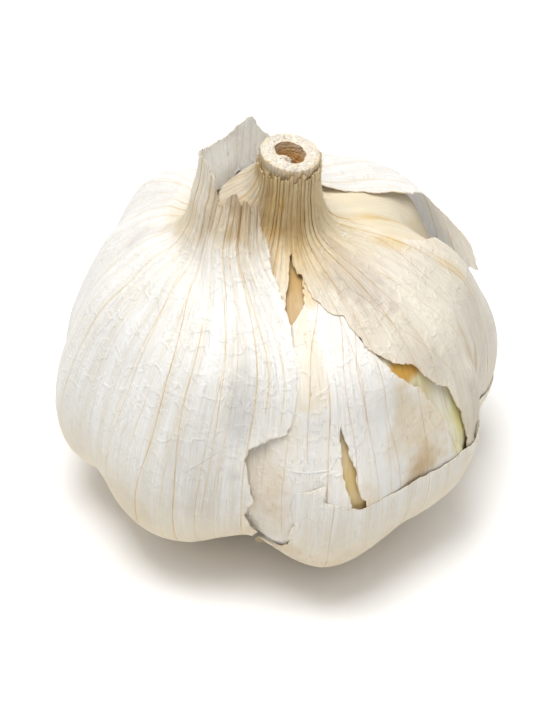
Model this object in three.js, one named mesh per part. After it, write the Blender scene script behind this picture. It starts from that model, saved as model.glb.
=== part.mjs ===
// A garlic bulb: nine cloves round a hollow flower stalk that rises from the root plate, inside three
// torn papery skins. Millimetres, +Z up. The bulb stands on the flat underside of its root plate, at
// z = 0, with the middle of its box over the origin.
//
// Every skin and clove follows one shape, given at an azimuth (degrees from the front, -Y, positive
// towards +X) and a station (0 at the root plate, 1 at the cut rim of the neck).
import * as THREE from "three";

// ---- driving dimensions, in millimetres, degrees and shares

const SKIN = 0.6; // thickness of a papery skin
const GAP = 0.3; // clearance between neighbouring pieces
const PITCH = SKIN + GAP; // from one skin's outside to the next one's

// Half of the bulb's outline, as (radius, height), from the root plate to the shoulder.
const BODY = [
  [7.0, 2.4], [13.2, 1.3], [20.9, 3.8], [27.7, 8.5], [30.0, 14.2],
  [29.8, 21.2], [27.6, 28.4], [24.4, 34.8], [19.0, 38.9], [13.1, 41.5],
];
// It goes on up the loose collar of the outer skin, or up the neck that hugs the stalk.
const COLLAR = [[9.4, 44.6], [7.2, 49.0], [6.7, 54.2]];
const NECK = [[7.4, 43.4], [5.65, 47.6], [5.25, 53.4]];

// The cloves: where each begins, how deep the crease is there, and how far the clove swells out.
const CLOVES = [
  { from: -152, crease: 1.1, swell: 1.3 },
  { from: -116, crease: 1.1, swell: -0.7 },
  { from: -92, crease: 0.9, swell: 0.4 },
  { from: -60, crease: 1.0, swell: 0.5 },
  { from: -8, crease: 1.6, swell: 1.8 },
  { from: 38, crease: 0.4, swell: 0.2 },
  { from: 76, crease: 1.4, swell: 0.7 },
  { from: 124, crease: 0.6, swell: 0.3 },
  { from: 161, crease: 0.8, swell: 0.3 },
];
// Shares of the crease and of the swelling at the stations of BODY and the neck.
const CREASE_ALONG = [0, 0.75, 1.15, 1.15, 1, 0.85, 0.7, 0.5, 0.3, 0.12, 0, 0, 0];
const SWELL_ALONG = [0, 0.1, 0.8, 1, 1, 0.9, 0.7, 0.5, 0.3, 0.1, 0, 0, 0];

// From the outside in: how far each layer lies inside the outline, how deep its creases are, how
// rounded they are at the bottom, and how far its neck stands off the bulb's axis.
const OUTER = { inset: 0, depth: 2.6, round: 0.4, neck: COLLAR, shift: [-5.4, 0.6] };
const MIDDLE = { inset: PITCH, depth: 3.2, round: 0.3, neck: NECK, shift: [-0.55, 0] };
const INNER = { inset: 2 * PITCH, depth: 3.6, round: 0.22, neck: NECK, shift: [-0.55, 0] };
const CLOVE = { inset: 3 * PITCH, depth: 4.4, round: 0.1, neck: NECK, shift: [-0.55, 0] };
// Where the outer skin is missing, the middle one bellies out to the outline over this window of
// azimuths and stations, which it enters and leaves smoothly.
MIDDLE.belly = { rise: PITCH, azimuths: [8, 34, 80, 96], stations: [0.4, 0.5, 0.66, 0.8] };

const LEAN = 1.05; // the bulb leans this far to the right for every
const LEAN_RISE = 20; // this much height, about
const LEAN_AT = 20; // this height
const SHIFT_FROM = 0.58; // stations between which the neck moves off the axis
const SHIFT_TO = 0.86;

const PLEATS = 20; // pleats where a skin is gathered into the neck
const PLEAT_RISE = 0.16;
const PLEATS_FROM = 0.72; // stations between which they rise
const PLEATS_TO = 0.88;

const STALK_RADIUS = 3.45;
const STALK_SHIFT_FROM = 36; // heights between which the stalk moves off the axis
const STALK_SHIFT_TO = 46;
const STALK_TOP = 54.6;
const STALK_LIP = 4.0; // radius where the stalk flares under its cut
const STALK_RIBS = 16;
const STALK_RIB_RISE = 0.1;
const HOLLOW_RADIUS = 2.0;
const HOLLOW_OVAL = 0.35; // it is this much wider one way and narrower the other
const HOLLOW_SHIFT = [0.35, 0.3]; // and off the middle of the stalk
const HOLLOW_BOTTOM = 41.5;
const PLATE_FLAT = 5.2; // radius of the flat spot that the bulb stands on
const ROOT_STUBS = 18; // stubs of trimmed roots round the plate
const ROOT_STUB_RISE = 0.35;

const AXIS_AT = [-0.156, 0.365]; // the bulb's axis at LEAN_AT, from the middle of the box

const COLUMN = 6; // degrees between the grid's columns
const ROWS = 25; // rows of the grid from station 0 to 1

// ---- torn edges, as (azimuth, station) round each skin

// The outer skin wraps the left and the back and leaves a band round the front and the right.
const OUTER_EDGE = [
  // the tear at the front, from the root plate up its right side to the band's corner
  [-3, -0.1], [-3, 0.26], [3, 0.3], [3.5, 0.36], [2.5, 0.4], [3, 0.425], [10, 0.434], [10, 0.412],
  // the band's upper edge, to the right
  [16, 0.396], [26, 0.386], [42, 0.378], [57, 0.374], [80, 0.375], [91, 0.42],
  // the tip of the flap at the back right, and up to the rim behind the stalk
  [95, 0.51], [107, 0.55], [119, 0.575], [125, 0.61], [122.5, 0.68], [124, 0.76], [130, 0.82],
  [150, 0.87], [163, 0.93], [170, 0.965], [180, 0.99],
  // the collar's cut rim, round the left
  [194, 0.97], [215, 0.955], [235, 0.96], [262, 0.99], [284, 0.99], [292, 0.96], [318, 0.94],
  // the ragged rim in front, and the long torn edge back down to the root plate
  [329, 0.92], [344, 0.948], [358, 0.955], [368, 0.942], [373, 0.89], [374, 0.83], [369.5, 0.755],
  [365, 0.676], [363.5, 0.58], [362, 0.526], [355.5, 0.497], [349.5, 0.473], [352, 0.42],
  [352, 0.38], [351, 0.355], [353, 0.3], [352, -0.1],
];
// The middle skin hugs the stalk, and goes on as a flap over the cloves on the right.
const MIDDLE_EDGE = [
  [-200, 0.8], [-180, 0.76], [-150, 0.7], [-90, 0.66], [-30, 0.69], [-2.5, 0.745], [4, 0.824],
  // the flap's torn lower edge
  [11, 0.774], [18, 0.712], [25, 0.69], [28, 0.635], [33, 0.605], [42, 0.57], [48, 0.52],
  [52.5, 0.478], [57, 0.392], [60, 0.29],
  // its end under the band, and its back edge in the crease beside the bare clove
  [75, 0.27], [98, 0.29], [103, 0.4], [103, 0.56], [98, 0.7], [92, 0.78], [94, 0.84],
  [112, 0.865], [130, 0.87], [155, 0.86], [160, 0.8], [180, 0.76], [210, 0.7],
  // its ragged end round the stalk
  [210, 0.975], [150, 0.985], [120, 0.97], [80, 0.985], [52, 0.965], [30, 0.975], [8, 0.955],
  [-14, 0.965], [-40, 0.985], [-90, 0.98], [-150, 0.975], [-200, 0.98],
];
// The inner skin covers the two front cloves and is split from the root plate.
const INNER_EDGE = [
  [-44, 0.04], [-44, 0.4], [-36, 0.56], [-18, 0.63], [2, 0.69], [8.5, 0.724], [10.5, 0.77],
  [11, 0.82], [20, 0.8], [25, 0.72], [26, 0.67], [29, 0.63], [33, 0.592], [36, 0.562],
  [43, 0.528], [47, 0.482], [49, 0.45], [52, 0.4], [57, 0.326], [64, 0.2], [66, 0.04],
  // the split
  [25, 0.04], [25, 0.3], [21.5, 0.42], [15.5, 0.53], [13.5, 0.5], [15, 0.42], [17.5, 0.3],
  [18, 0.04],
];

// ---- the shape of the bulb

const smooth = THREE.MathUtils.smoothstep;

// 0 outside a window, 1 inside it, and smooth between.
const bump = (x, start, full, fade, end) => smooth(x, start, full) * (1 - smooth(x, fade, end));

function alongStations(shares) {
  const curve = new THREE.SplineCurve(shares.map((share, i) => new THREE.Vector2(i, share)));
  return (station) => curve.getPoint(station).y;
}
const creaseAt = alongStations(CREASE_ALONG);
const swellAt = alongStations(SWELL_ALONG);

for (const layer of [OUTER, MIDDLE, INNER, CLOVE]) {
  layer.curve = new THREE.SplineCurve([...BODY, ...layer.neck].map((p) => new THREE.Vector2(...p)));
}

// The clove at an azimuth: how near its middle that is (1) or its creases (0), and their depth.
function cloveAt(azimuth) {
  const first = CLOVES[0].from;
  const turned = THREE.MathUtils.euclideanModulo(azimuth - first, 360) + first;
  const index = CLOVES.findLastIndex((clove) => clove.from <= turned);
  const next = CLOVES[(index + 1) % CLOVES.length];
  const until = index + 1 < CLOVES.length ? next.from : next.from + 360;
  const across = (2 * (turned - CLOVES[index].from)) / (until - CLOVES[index].from) - 1;
  return {
    middle: Math.cos((Math.PI / 2) * across),
    crease: across < 0 ? CLOVES[index].crease : next.crease,
    swell: CLOVES[index].swell,
  };
}

// The bulb's axis at a height: it leans, and a neck may stand off it.
function axisAt(height, shift, share) {
  const lean = (LEAN * (height - LEAN_AT)) / LEAN_RISE;
  return [AXIS_AT[0] + lean + shift[0] * share, AXIS_AT[1] + shift[1] * share];
}

// A point of a layer, `sunk` millimetres below its outside.
function pointOn(layer, azimuth, station, sunk = 0) {
  const t = THREE.MathUtils.clamp(station, 0, 1);
  const { x: radius, y: height } = layer.curve.getPoint(t);
  const along = layer.curve.getTangent(t);
  const clove = cloveAt(azimuth);
  const rounded = Math.hypot(clove.middle, layer.round * Math.sqrt(1 - clove.middle ** 2));
  const belly = layer.belly
    ? layer.belly.rise * bump(azimuth, ...layer.belly.azimuths) * bump(t, ...layer.belly.stations)
    : 0;
  const pleat = Math.cos(THREE.MathUtils.degToRad(PLEATS * azimuth)) * smooth(t, PLEATS_FROM, PLEATS_TO);
  const out =
    clove.swell * clove.middle ** 2 * swellAt(t) -
    layer.depth * clove.crease * creaseAt(t) * (1 - rounded) +
    PLEAT_RISE * pleat +
    belly -
    layer.inset -
    sunk;
  const r = radius + along.y * out;
  const z = height - along.x * out;
  const a = THREE.MathUtils.degToRad(azimuth);
  const [x, y] = axisAt(z, layer.shift, smooth(t, SHIFT_FROM, SHIFT_TO));
  return new THREE.Vector3(x + r * Math.sin(a), y - r * Math.cos(a), z);
}

// ---- torn skins

const DEGREE_LENGTH = 0.45; // millimetres for a degree and for the whole run of stations,
const STATIONS_LENGTH = 80; // which put distances to a torn edge in millimetres
const TRIM = 0.2; // no cut comes nearer a corner of the grid than this share of a side

// Distance inside (positive) or outside (negative) a closed outline of (azimuth, station) points.
function insideOutline(outline, azimuth, station) {
  let nearest = Infinity;
  let inside = false;
  outline.forEach(([a1, s1], i) => {
    const [a2, s2] = outline[(i + 1) % outline.length];
    if (s1 > station !== s2 > station && azimuth < a1 + ((station - s1) * (a2 - a1)) / (s2 - s1)) {
      inside = !inside;
    }
    const start = new THREE.Vector3(a1 * DEGREE_LENGTH, s1 * STATIONS_LENGTH, 0);
    const end = new THREE.Vector3(a2 * DEGREE_LENGTH, s2 * STATIONS_LENGTH, 0);
    const here = new THREE.Vector3(azimuth * DEGREE_LENGTH, station * STATIONS_LENGTH, 0);
    const foot = new THREE.Line3(start, end).closestPointToPoint(here, true, new THREE.Vector3());
    nearest = Math.min(nearest, foot.distanceTo(here));
  });
  return inside ? nearest : -nearest;
}

// The triangles of the grid inside an outline, those across the edge cut to it. A closed grid joins
// its last column to its first.
function tornSheet(outline, firstAzimuth, columns, closed) {
  const points = [];
  const ids = new Map();
  const triangles = [];
  const grid = (i, j) => {
    const column = closed ? i % columns : i;
    const key = `${column} ${j}`;
    if (!ids.has(key)) {
      const azimuth = firstAzimuth + column * COLUMN;
      const station = j / ROWS;
      ids.set(key, points.push({ azimuth, station, depth: insideOutline(outline, azimuth, station) }) - 1);
    }
    return ids.get(key);
  };
  const cut = (a, b) => {
    const [p, q] = a < b ? [points[a], points[b]] : [points[b], points[a]];
    const key = `cut ${Math.min(a, b)} ${Math.max(a, b)}`;
    if (!ids.has(key)) {
      const share = THREE.MathUtils.clamp(p.depth / (p.depth - q.depth), TRIM, 1 - TRIM);
      let turn = q.azimuth - p.azimuth; // across the seam of a closed grid the way is short
      turn -= 360 * Math.round(turn / 360);
      const azimuth = p.azimuth + turn * share;
      const station = THREE.MathUtils.lerp(p.station, q.station, share);
      ids.set(key, points.push({ azimuth, station, depth: 0 }) - 1);
    }
    return ids.get(key);
  };
  const clip = (corners) => {
    const kept = [];
    corners.forEach((a, k) => {
      const b = corners[(k + 1) % 3];
      if (points[a].depth > 0) kept.push(a);
      if (points[a].depth > 0 !== points[b].depth > 0) kept.push(cut(a, b));
    });
    for (let k = 2; k < kept.length; k++) triangles.push([kept[0], kept[k - 1], kept[k]]);
  };
  for (let i = 0; i < columns; i++) {
    for (let j = 0; j < ROWS; j++) {
      clip([grid(i, j), grid(i + 1, j), grid(i + 1, j + 1)]);
      clip([grid(i, j), grid(i + 1, j + 1), grid(i, j + 1)]);
    }
  }
  return { points, triangles: largestPatch(triangles) };
}

// The triangles of the largest connected patch.
function largestPatch(triangles) {
  const parent = new Map();
  const root = (v) => {
    while (parent.has(v)) v = parent.get(v);
    return v;
  };
  for (const [a, ...others] of triangles) {
    for (const b of others) {
      if (root(a) !== root(b)) parent.set(root(b), root(a));
    }
  }
  const patches = Map.groupBy(triangles, ([a]) => root(a));
  return [...patches.values()].reduce((most, patch) => (patch.length > most.length ? patch : most));
}

// A sheet's two faces on a layer, and the wall along its edge, as one closed body.
function skinGeometry(layer, { points, triangles }) {
  const used = [...new Set(triangles.flat())];
  const place = new Map(used.map((v, i) => [v, i]));
  const faceAt = (sunk) => used.map((v) => pointOn(layer, points[v].azimuth, points[v].station, sunk));
  const position = [...faceAt(0), ...faceAt(SKIN)].flatMap((p) => p.toArray());
  const below = used.length;
  const index = [];
  const edges = new Set(triangles.flatMap(([a, b, c]) => [`${a} ${b}`, `${b} ${c}`, `${c} ${a}`]));
  for (const triangle of triangles) {
    const [a, b, c] = triangle.map((v) => place.get(v));
    index.push(a, b, c, below + c, below + b, below + a);
  }
  for (const edge of edges) {
    const [u, v] = edge.split(" ").map(Number);
    if (edges.has(`${v} ${u}`)) continue;
    const [a, b] = [place.get(u), place.get(v)];
    index.push(b, a, below + a, b, below + a, below + b);
  }
  return indexed(position, index);
}

function indexed(position, index) {
  const geometry = new THREE.BufferGeometry();
  geometry.setAttribute("position", new THREE.Float32BufferAttribute(position, 3));
  geometry.setIndex(index);
  geometry.computeVertexNormals();
  return geometry;
}

// ---- cloves and stalk

// A closed body from a pole, rings of points that run anticlockwise seen from the last pole, and
// that last pole.
function ringedGeometry(first, rings, last) {
  const sides = rings[0].length;
  const position = [first, ...rings.flat(), last].flatMap((p) => p.toArray());
  const end = rings.length * sides + 1;
  const index = [];
  for (let k = 0; k < sides; k++) {
    const next = (k + 1) % sides;
    index.push(0, 1 + next, 1 + k);
    for (let j = 1; j < rings.length; j++) {
      const [low, high] = [1 + (j - 1) * sides, 1 + j * sides];
      index.push(low + k, low + next, high + next, low + k, high + next, high + k);
    }
    const top = end - sides;
    index.push(top + k, top + next, end);
  }
  return indexed(position, index);
}

const CLOVE_SIDES = 16;
const CLOVE_RINGS = 11;
const CLOVE_STATIONS = [0.045, 0.835];
const CLOVE_HEART = [6.2, 41.2]; // heights of a clove's inner edge, beside the stalk
const CLOVE_SQUARE = 0.62; // how square a clove's section is, from 1, round, to 0
const CLOVE_TIP = 3.2; // how full a clove stays towards its ends
const CLOVE_BUTT = 7;

function cloveGeometry(number) {
  const { from } = CLOVES[number];
  const until = number + 1 < CLOVES.length ? CLOVES[number + 1].from : CLOVES[0].from + 360;
  const middle = (from + until) / 2;
  const heart = (azimuth, share) => {
    const z = THREE.MathUtils.lerp(...CLOVE_HEART, share);
    const [x, y] = axisAt(z, CLOVE.shift, smooth(z, STALK_SHIFT_FROM, STALK_SHIFT_TO));
    const r = STALK_RADIUS + STALK_RIB_RISE + GAP;
    const a = THREE.MathUtils.degToRad(azimuth);
    return new THREE.Vector3(x + r * Math.sin(a), y - r * Math.cos(a), z);
  };
  const soften = (c) => Math.sign(c) * Math.abs(c) ** CLOVE_SQUARE;
  const sectionPoint = (share, across, outward) => {
    const station = THREE.MathUtils.lerp(...CLOVE_STATIONS, share);
    const reach = THREE.MathUtils.lerp(STALK_RADIUS, 25, outward);
    const half = (until - from) / 2 - THREE.MathUtils.radToDeg(GAP / 2 / reach);
    const azimuth = middle + across * half;
    return heart(azimuth, share).lerp(pointOn(CLOVE, azimuth, station), outward);
  };
  const rings = [];
  for (let j = 1; j <= CLOVE_RINGS; j++) {
    const share = j / (CLOVE_RINGS + 1);
    const ends = Math.abs(2 * share - 1);
    const full = Math.sqrt(1 - ends ** (share > 0.5 ? CLOVE_TIP : CLOVE_BUTT));
    const centre = sectionPoint(share, 0, 0.5);
    const ring = [];
    for (let k = 0; k < CLOVE_SIDES; k++) {
      const turn = (2 * Math.PI * k) / CLOVE_SIDES;
      const point = sectionPoint(share, soften(Math.cos(turn)), (1 - soften(Math.sin(turn))) / 2);
      ring.push(centre.clone().lerp(point, full));
    }
    rings.push(ring);
  }
  return ringedGeometry(sectionPoint(0, 0, 0.5), rings, sectionPoint(1, 0, 0.5));
}

const STALK_SIDES = 48;

// The root plate and the flower stalk, which grew as one, as (radius, height): from the flat spot
// up to the cut, and on down the hollow.
const STALK_PROFILE = [
  [2.6, 0], [PLATE_FLAT, 0], [6.2, 0.9], [6.3, 2.4], [5.9, 3.6], [4.4, 4.6], [STALK_RADIUS, 6],
  [STALK_RADIUS, 18], [STALK_RADIUS, 32], [STALK_RADIUS, 46], [STALK_RADIUS, STALK_TOP - 1.4],
  [STALK_LIP, STALK_TOP - 0.8], [STALK_LIP, STALK_TOP - 0.3], [STALK_LIP - 0.4, STALK_TOP],
];
const HOLLOW_PROFILE = [
  [HOLLOW_RADIUS + 0.3, STALK_TOP - 0.1], [HOLLOW_RADIUS, STALK_TOP - 0.8],
  [HOLLOW_RADIUS - 0.1, 48], [HOLLOW_RADIUS - 0.5, 43],
];

function stalkGeometry() {
  const centreAt = (z) => axisAt(z, CLOVE.shift, smooth(z, STALK_SHIFT_FROM, STALK_SHIFT_TO));
  const ring = ([radius, z], ripple, shift = [0, 0]) => {
    const [x, y] = centreAt(z);
    return Array.from({ length: STALK_SIDES }, (_, k) => {
      const a = (2 * Math.PI * k) / STALK_SIDES;
      const r = radius + ripple(a, z);
      return new THREE.Vector3(x + shift[0] + r * Math.sin(a), y + shift[1] - r * Math.cos(a), z);
    });
  };
  const outside = (a, z) => {
    if (z === 0) return 0;
    const stubs = ROOT_STUB_RISE * Math.cos(ROOT_STUBS * a) * (1 - smooth(z, 1, 3.6));
    const ribs = STALK_RIB_RISE * Math.cos(STALK_RIBS * a) * smooth(z, 30, 44);
    return stubs + ribs;
  };
  const hollow = (a) => HOLLOW_OVAL * Math.cos(2 * (a - 1));
  const rings = [
    ...STALK_PROFILE.map((p) => ring(p, outside)),
    ...HOLLOW_PROFILE.map((p) => ring(p, hollow, HOLLOW_SHIFT)),
  ];
  const [x0, y0] = centreAt(0);
  const [x1, y1] = centreAt(HOLLOW_BOTTOM);
  return ringedGeometry(
    new THREE.Vector3(x0, y0, 0),
    rings,
    new THREE.Vector3(x1 + HOLLOW_SHIFT[0], y1 + HOLLOW_SHIFT[1], HOLLOW_BOTTOM),
  );
}

// ---- the bulb

const paper = (color) => new THREE.MeshStandardMaterial({ color, roughness: 0.62, metalness: 0 });
const MATERIALS = {
  outer: paper(0xf1ece2),
  middle: paper(0xeae2d3),
  inner: paper(0xe8dcc6),
  clove: new THREE.MeshStandardMaterial({ color: 0xeddcb4, roughness: 0.4, metalness: 0 }),
  stalk: new THREE.MeshStandardMaterial({ color: 0xe2d0a4, roughness: 0.8, metalness: 0 }),
};

function piece(name, geometry, material) {
  const mesh = new THREE.Mesh(geometry, material);
  mesh.name = name;
  return mesh;
}

const bulb = new THREE.Group();
bulb.name = "garlic_bulb";
bulb.add(piece("stalk_and_root_plate", stalkGeometry(), MATERIALS.stalk));
CLOVES.forEach((_, k) => bulb.add(piece(`clove_${k + 1}`, cloveGeometry(k), MATERIALS.clove)));
bulb.add(
  piece("inner_skin", skinGeometry(INNER, tornSheet(INNER_EDGE, -48, 20, false)), MATERIALS.inner),
  piece("middle_skin", skinGeometry(MIDDLE, tornSheet(MIDDLE_EDGE, -180, 60, true)), MATERIALS.middle),
  piece("outer_skin", skinGeometry(OUTER, tornSheet(OUTER_EDGE, -6, 64, false)), MATERIALS.outer),
);

export default bulb;
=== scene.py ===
"""A garlic bulb: cloves round a cut flower stalk on a root plate, in torn papery skins.

Sizes of the bulb are in millimetres and are turned into metres where a mesh is made. A place on
the bulb is an azimuth, in degrees from the front (-Y) and positive towards +X, and a station, from
0 at the root plate to 1 at the cut rim of the neck.
"""

import math
from typing import NamedTuple

import bpy
import numpy as np
from bpy.props import FloatProperty, FloatVectorProperty, IntProperty, PointerProperty
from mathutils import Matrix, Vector


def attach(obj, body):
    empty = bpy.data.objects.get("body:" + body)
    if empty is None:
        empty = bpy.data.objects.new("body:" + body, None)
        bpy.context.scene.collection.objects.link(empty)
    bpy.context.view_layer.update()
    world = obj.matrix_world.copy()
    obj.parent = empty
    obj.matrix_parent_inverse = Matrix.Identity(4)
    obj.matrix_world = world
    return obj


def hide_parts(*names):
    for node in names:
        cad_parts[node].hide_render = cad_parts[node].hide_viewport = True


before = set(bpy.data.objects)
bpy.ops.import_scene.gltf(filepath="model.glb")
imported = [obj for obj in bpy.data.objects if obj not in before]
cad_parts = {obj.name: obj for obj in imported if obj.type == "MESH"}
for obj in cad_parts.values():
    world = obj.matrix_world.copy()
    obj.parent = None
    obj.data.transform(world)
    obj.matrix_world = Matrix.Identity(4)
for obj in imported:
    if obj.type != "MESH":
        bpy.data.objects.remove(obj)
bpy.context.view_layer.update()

bl_info = {
    "name": "Garlic bulb",
    "version": (1, 0, 0),
    "blender": (4, 5, 0),
    "location": "View3D > Sidebar > Garlic",
    "description": "Makes a garlic bulb with cloves, a cut stalk and torn papery skins",
    "category": "Add Mesh",
}

MM = 0.001


def tint(code):
    """A colour in linear light, from its hex code."""
    channels = [int(code[k : k + 2], 16) / 255 for k in (0, 2, 4)]
    return tuple(c / 12.92 if c <= 0.04045 else ((c + 0.055) / 1.055) ** 2.4 for c in channels)



# ---------------------------------------------------------------------------------------------
# Form of the bulb
# ---------------------------------------------------------------------------------------------

# Half of the bulb's outline, as (radius, height), from the root plate to the shoulder.
BODY = (
    (7.0, 2.4), (13.2, 1.3), (20.9, 3.8), (27.7, 8.5), (30.0, 14.2),
    (29.8, 21.2), (27.6, 28.4), (24.4, 34.8), (19.0, 38.9), (13.1, 41.5),
)
# It goes on up the loose collar of the outer skin, or up the neck that hugs the stalk.
COLLAR = ((9.4, 44.6), (7.2, 49.0), (6.7, 54.2))
NECK = ((6.6, 43.4), (4.95, 47.6), (4.65, 53.4))

# The cloves: where each begins, how deep the crease is there, and how far the clove swells out.
CLOVES = (
    (-152, 1.1, 1.3), (-116, 1.1, -0.7), (-92, 0.9, 0.4), (-60, 1.0, 0.5), (-8, 1.6, 1.8),
    (38, 0.4, 0.2), (76, 1.4, 0.7), (124, 0.6, 0.3), (161, 0.8, 0.3),
)
CLOVE_STARTS = np.array([start for start, _, _ in CLOVES], float)
CLOVE_ENDS = np.append(CLOVE_STARTS[1:], CLOVE_STARTS[0] + 360)
CREASES = np.array([crease for _, crease, _ in CLOVES])
SWELLS = np.array([swell for _, _, swell in CLOVES])
# Shares of the crease and of the swelling at the stations of BODY and the neck.
CREASE_ALONG = (0, 0.75, 1.15, 1.15, 1, 0.85, 0.7, 0.5, 0.3, 0.12, 0, 0, 0)
SWELL_ALONG = (0, 0.1, 0.8, 1, 1, 0.9, 0.7, 0.5, 0.3, 0.1, 0, 0, 0)

LEAN_RATE = 1.05 / 20  # the bulb leans to the right, about this height
LEAN_AT = 20
NECK_MOVES = (0.58, 0.86)  # stations between which a neck moves off the bulb's axis
AXIS_AT = (-0.156, 0.365)  # the bulb's axis at LEAN_AT, from the middle of its box


class Layer(NamedTuple):
    """A nested surface of the bulb."""

    inset: float  # how far it lies inside the outline
    depth: float  # how deep its creases are
    rounding: float  # how rounded they are at the bottom
    neck: tuple
    shift: tuple  # how far its neck stands off the bulb's axis


OUTER = Layer(0.0, 2.6, 0.40, COLLAR, (-5.4, 0.6))
MIDDLE = Layer(0.55, 3.0, 0.30, NECK, (-0.55, 0))
TUCKED = Layer(0.85, 3.1, 0.28, NECK, (-0.55, 0))
INNER = Layer(1.15, 3.3, 0.24, NECK, (-0.55, 0))
CLOVE = Layer(1.75, 4.4, 0.10, NECK, (-0.55, 0))
TIGHT = Layer(1.5, 1.6, 0.30, NECK, (-0.55, 0))  # a clove's own skin, where it bridges a crease
SNUG = Layer(1.5, 3.3, 0.24, NECK, (-0.55, 0))  # and where it lies close under the inner skin

STALK_RADIUS = 3.55
STALK_LIP = 3.85  # radius at the cut
STALK_TOP = 54.3
STALK_MOVES = (36, 46)  # heights between which the stalk moves off the bulb's axis


def smooth(x, start, end):
    """0 before start, 1 after end, and smooth between."""
    share = np.clip((np.asarray(x, float) - start) / (end - start), 0, 1)
    return share * share * (3 - 2 * share)


def bump(x, start, full, fade, end):
    """0 outside a window, 1 inside it, and smooth between."""
    return smooth(x, start, full) * (1 - smooth(x, fade, end))


def through(points, share):
    """The points and slopes of a smooth curve through points, at shares of the way along them."""
    points = np.asarray(points, float)
    last = len(points) - 1
    place = np.clip(share, 0, 1) * last
    index = np.minimum(place.astype(int), last - 1)
    w = (place - index)[..., None]
    before, start, end, after = (points[np.clip(index + k, 0, last)] for k in (-1, 0, 1, 2))
    slope_in, slope_out = (end - before) / 2, (after - start) / 2
    cubic = 2 * start - 2 * end + slope_in + slope_out
    square = -3 * start + 3 * end - 2 * slope_in - slope_out
    return ((cubic * w + square) * w + slope_in) * w + start, (3 * cubic * w + 2 * square) * w + slope_in


def along_stations(shares, station):
    return through(np.array(shares, float)[:, None], station)[0][..., 0]


def noise(x, y, period, seed):
    """Smooth noise from -1 to 1 on unit cells, which repeats every `period` cells in x."""
    values = np.random.default_rng(seed).uniform(-1, 1, (period, 512))
    xi, yi = np.floor(x).astype(int), np.floor(y).astype(int)
    sx, sy = (f * f * (3 - 2 * f) for f in (x - xi, y - yi))
    corner = [[values[(xi + i) % period, (yi + j) % 512] for j in (0, 1)] for i in (0, 1)]
    low = corner[0][0] * (1 - sx) + corner[1][0] * sx
    high = corner[0][1] * (1 - sx) + corner[1][1] * sx
    return low * (1 - sy) + high * sy


def bulb_noise(azimuth, station, around, along, seed):
    """Noise with so many cells round the bulb and along its stations."""
    return noise(azimuth / 360 * around, station * along + 60, around, seed)


def nearest_clove(azimuth):
    """For azimuths: the clove, and the place across it from -1 to 1."""
    turned = np.mod(azimuth - CLOVE_STARTS[0], 360) + CLOVE_STARTS[0]
    index = np.searchsorted(CLOVE_STARTS, turned, side="right") - 1
    across = 2 * (turned - CLOVE_STARTS[index]) / (CLOVE_ENDS - CLOVE_STARTS)[index] - 1
    return index, across


def axis_at(height, shift, share):
    """The bulb's axis at a height: it leans, and a neck may stand off it."""
    x = AXIS_AT[0] + LEAN_RATE * (height - LEAN_AT) + shift[0] * share
    return x, AXIS_AT[1] + shift[1] * share


def point_on(layer, azimuth, station, out=0.0):
    """Points of a layer, each moved `out` millimetres away from it, and their radii."""
    azimuth, station = np.broadcast_arrays(np.asarray(azimuth, float), np.asarray(station, float))
    station = np.clip(station, 0, 1)
    place, slope = through(BODY + layer.neck, station)
    slope = slope / np.linalg.norm(slope, axis=-1, keepdims=True)
    clove, across = nearest_clove(azimuth)
    middle = np.cos(np.pi / 2 * across)
    rounded = np.hypot(middle, layer.rounding * np.sqrt(np.maximum(1 - middle**2, 0)))
    crease = np.where(across < 0, CREASES[clove], CREASES[(clove + 1) % len(CLOVES)])
    rise = (
        SWELLS[clove] * middle**2 * along_stations(SWELL_ALONG, station)
        - layer.depth * crease * along_stations(CREASE_ALONG, station) * (1 - rounded)
        - layer.inset
        + out
    )
    radius = place[..., 0] + slope[..., 1] * rise
    height = place[..., 1] - slope[..., 0] * rise
    turn = np.radians(azimuth)
    x, y = axis_at(height, layer.shift, smooth(station, *NECK_MOVES))
    return np.stack([x + radius * np.sin(turn), y - radius * np.cos(turn), height], -1), radius


# The leaves gather into ribs at the neck; each rib runs on down the bulb as a strip between veins.
RIB_COUNT = 50
RIB_JITTER = 0.32
_spread = np.arange(RIB_COUNT) + np.random.default_rng(7).uniform(-RIB_JITTER, RIB_JITTER, RIB_COUNT)
VEINS = np.append(_spread, _spread[0] + RIB_COUNT) * 360 / RIB_COUNT - 180


def rib_place(azimuth, station):
    """Where a point is among the ribs: whole numbers are veins, which wander a little."""
    wander = 1.5 * bulb_noise(azimuth, station, 12, 3.0, 3) + 0.6 * bulb_noise(azimuth, station, 40, 9, 4)
    wander = wander * (1 - smooth(station, 0.6, 0.85))
    turned = azimuth + wander - VEINS[0]
    turns = np.floor(turned / 360)
    return np.interp(turned - 360 * turns + VEINS[0], VEINS, np.arange(RIB_COUNT + 1)) + RIB_COUNT * turns


def rib_values(place, low, high, seed):
    """A random value for each rib."""
    values = np.random.default_rng(seed).uniform(low, high, RIB_COUNT)
    return values[np.floor(place).astype(int) % RIB_COUNT]


# ---------------------------------------------------------------------------------------------
# Torn sheets
# ---------------------------------------------------------------------------------------------

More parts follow.
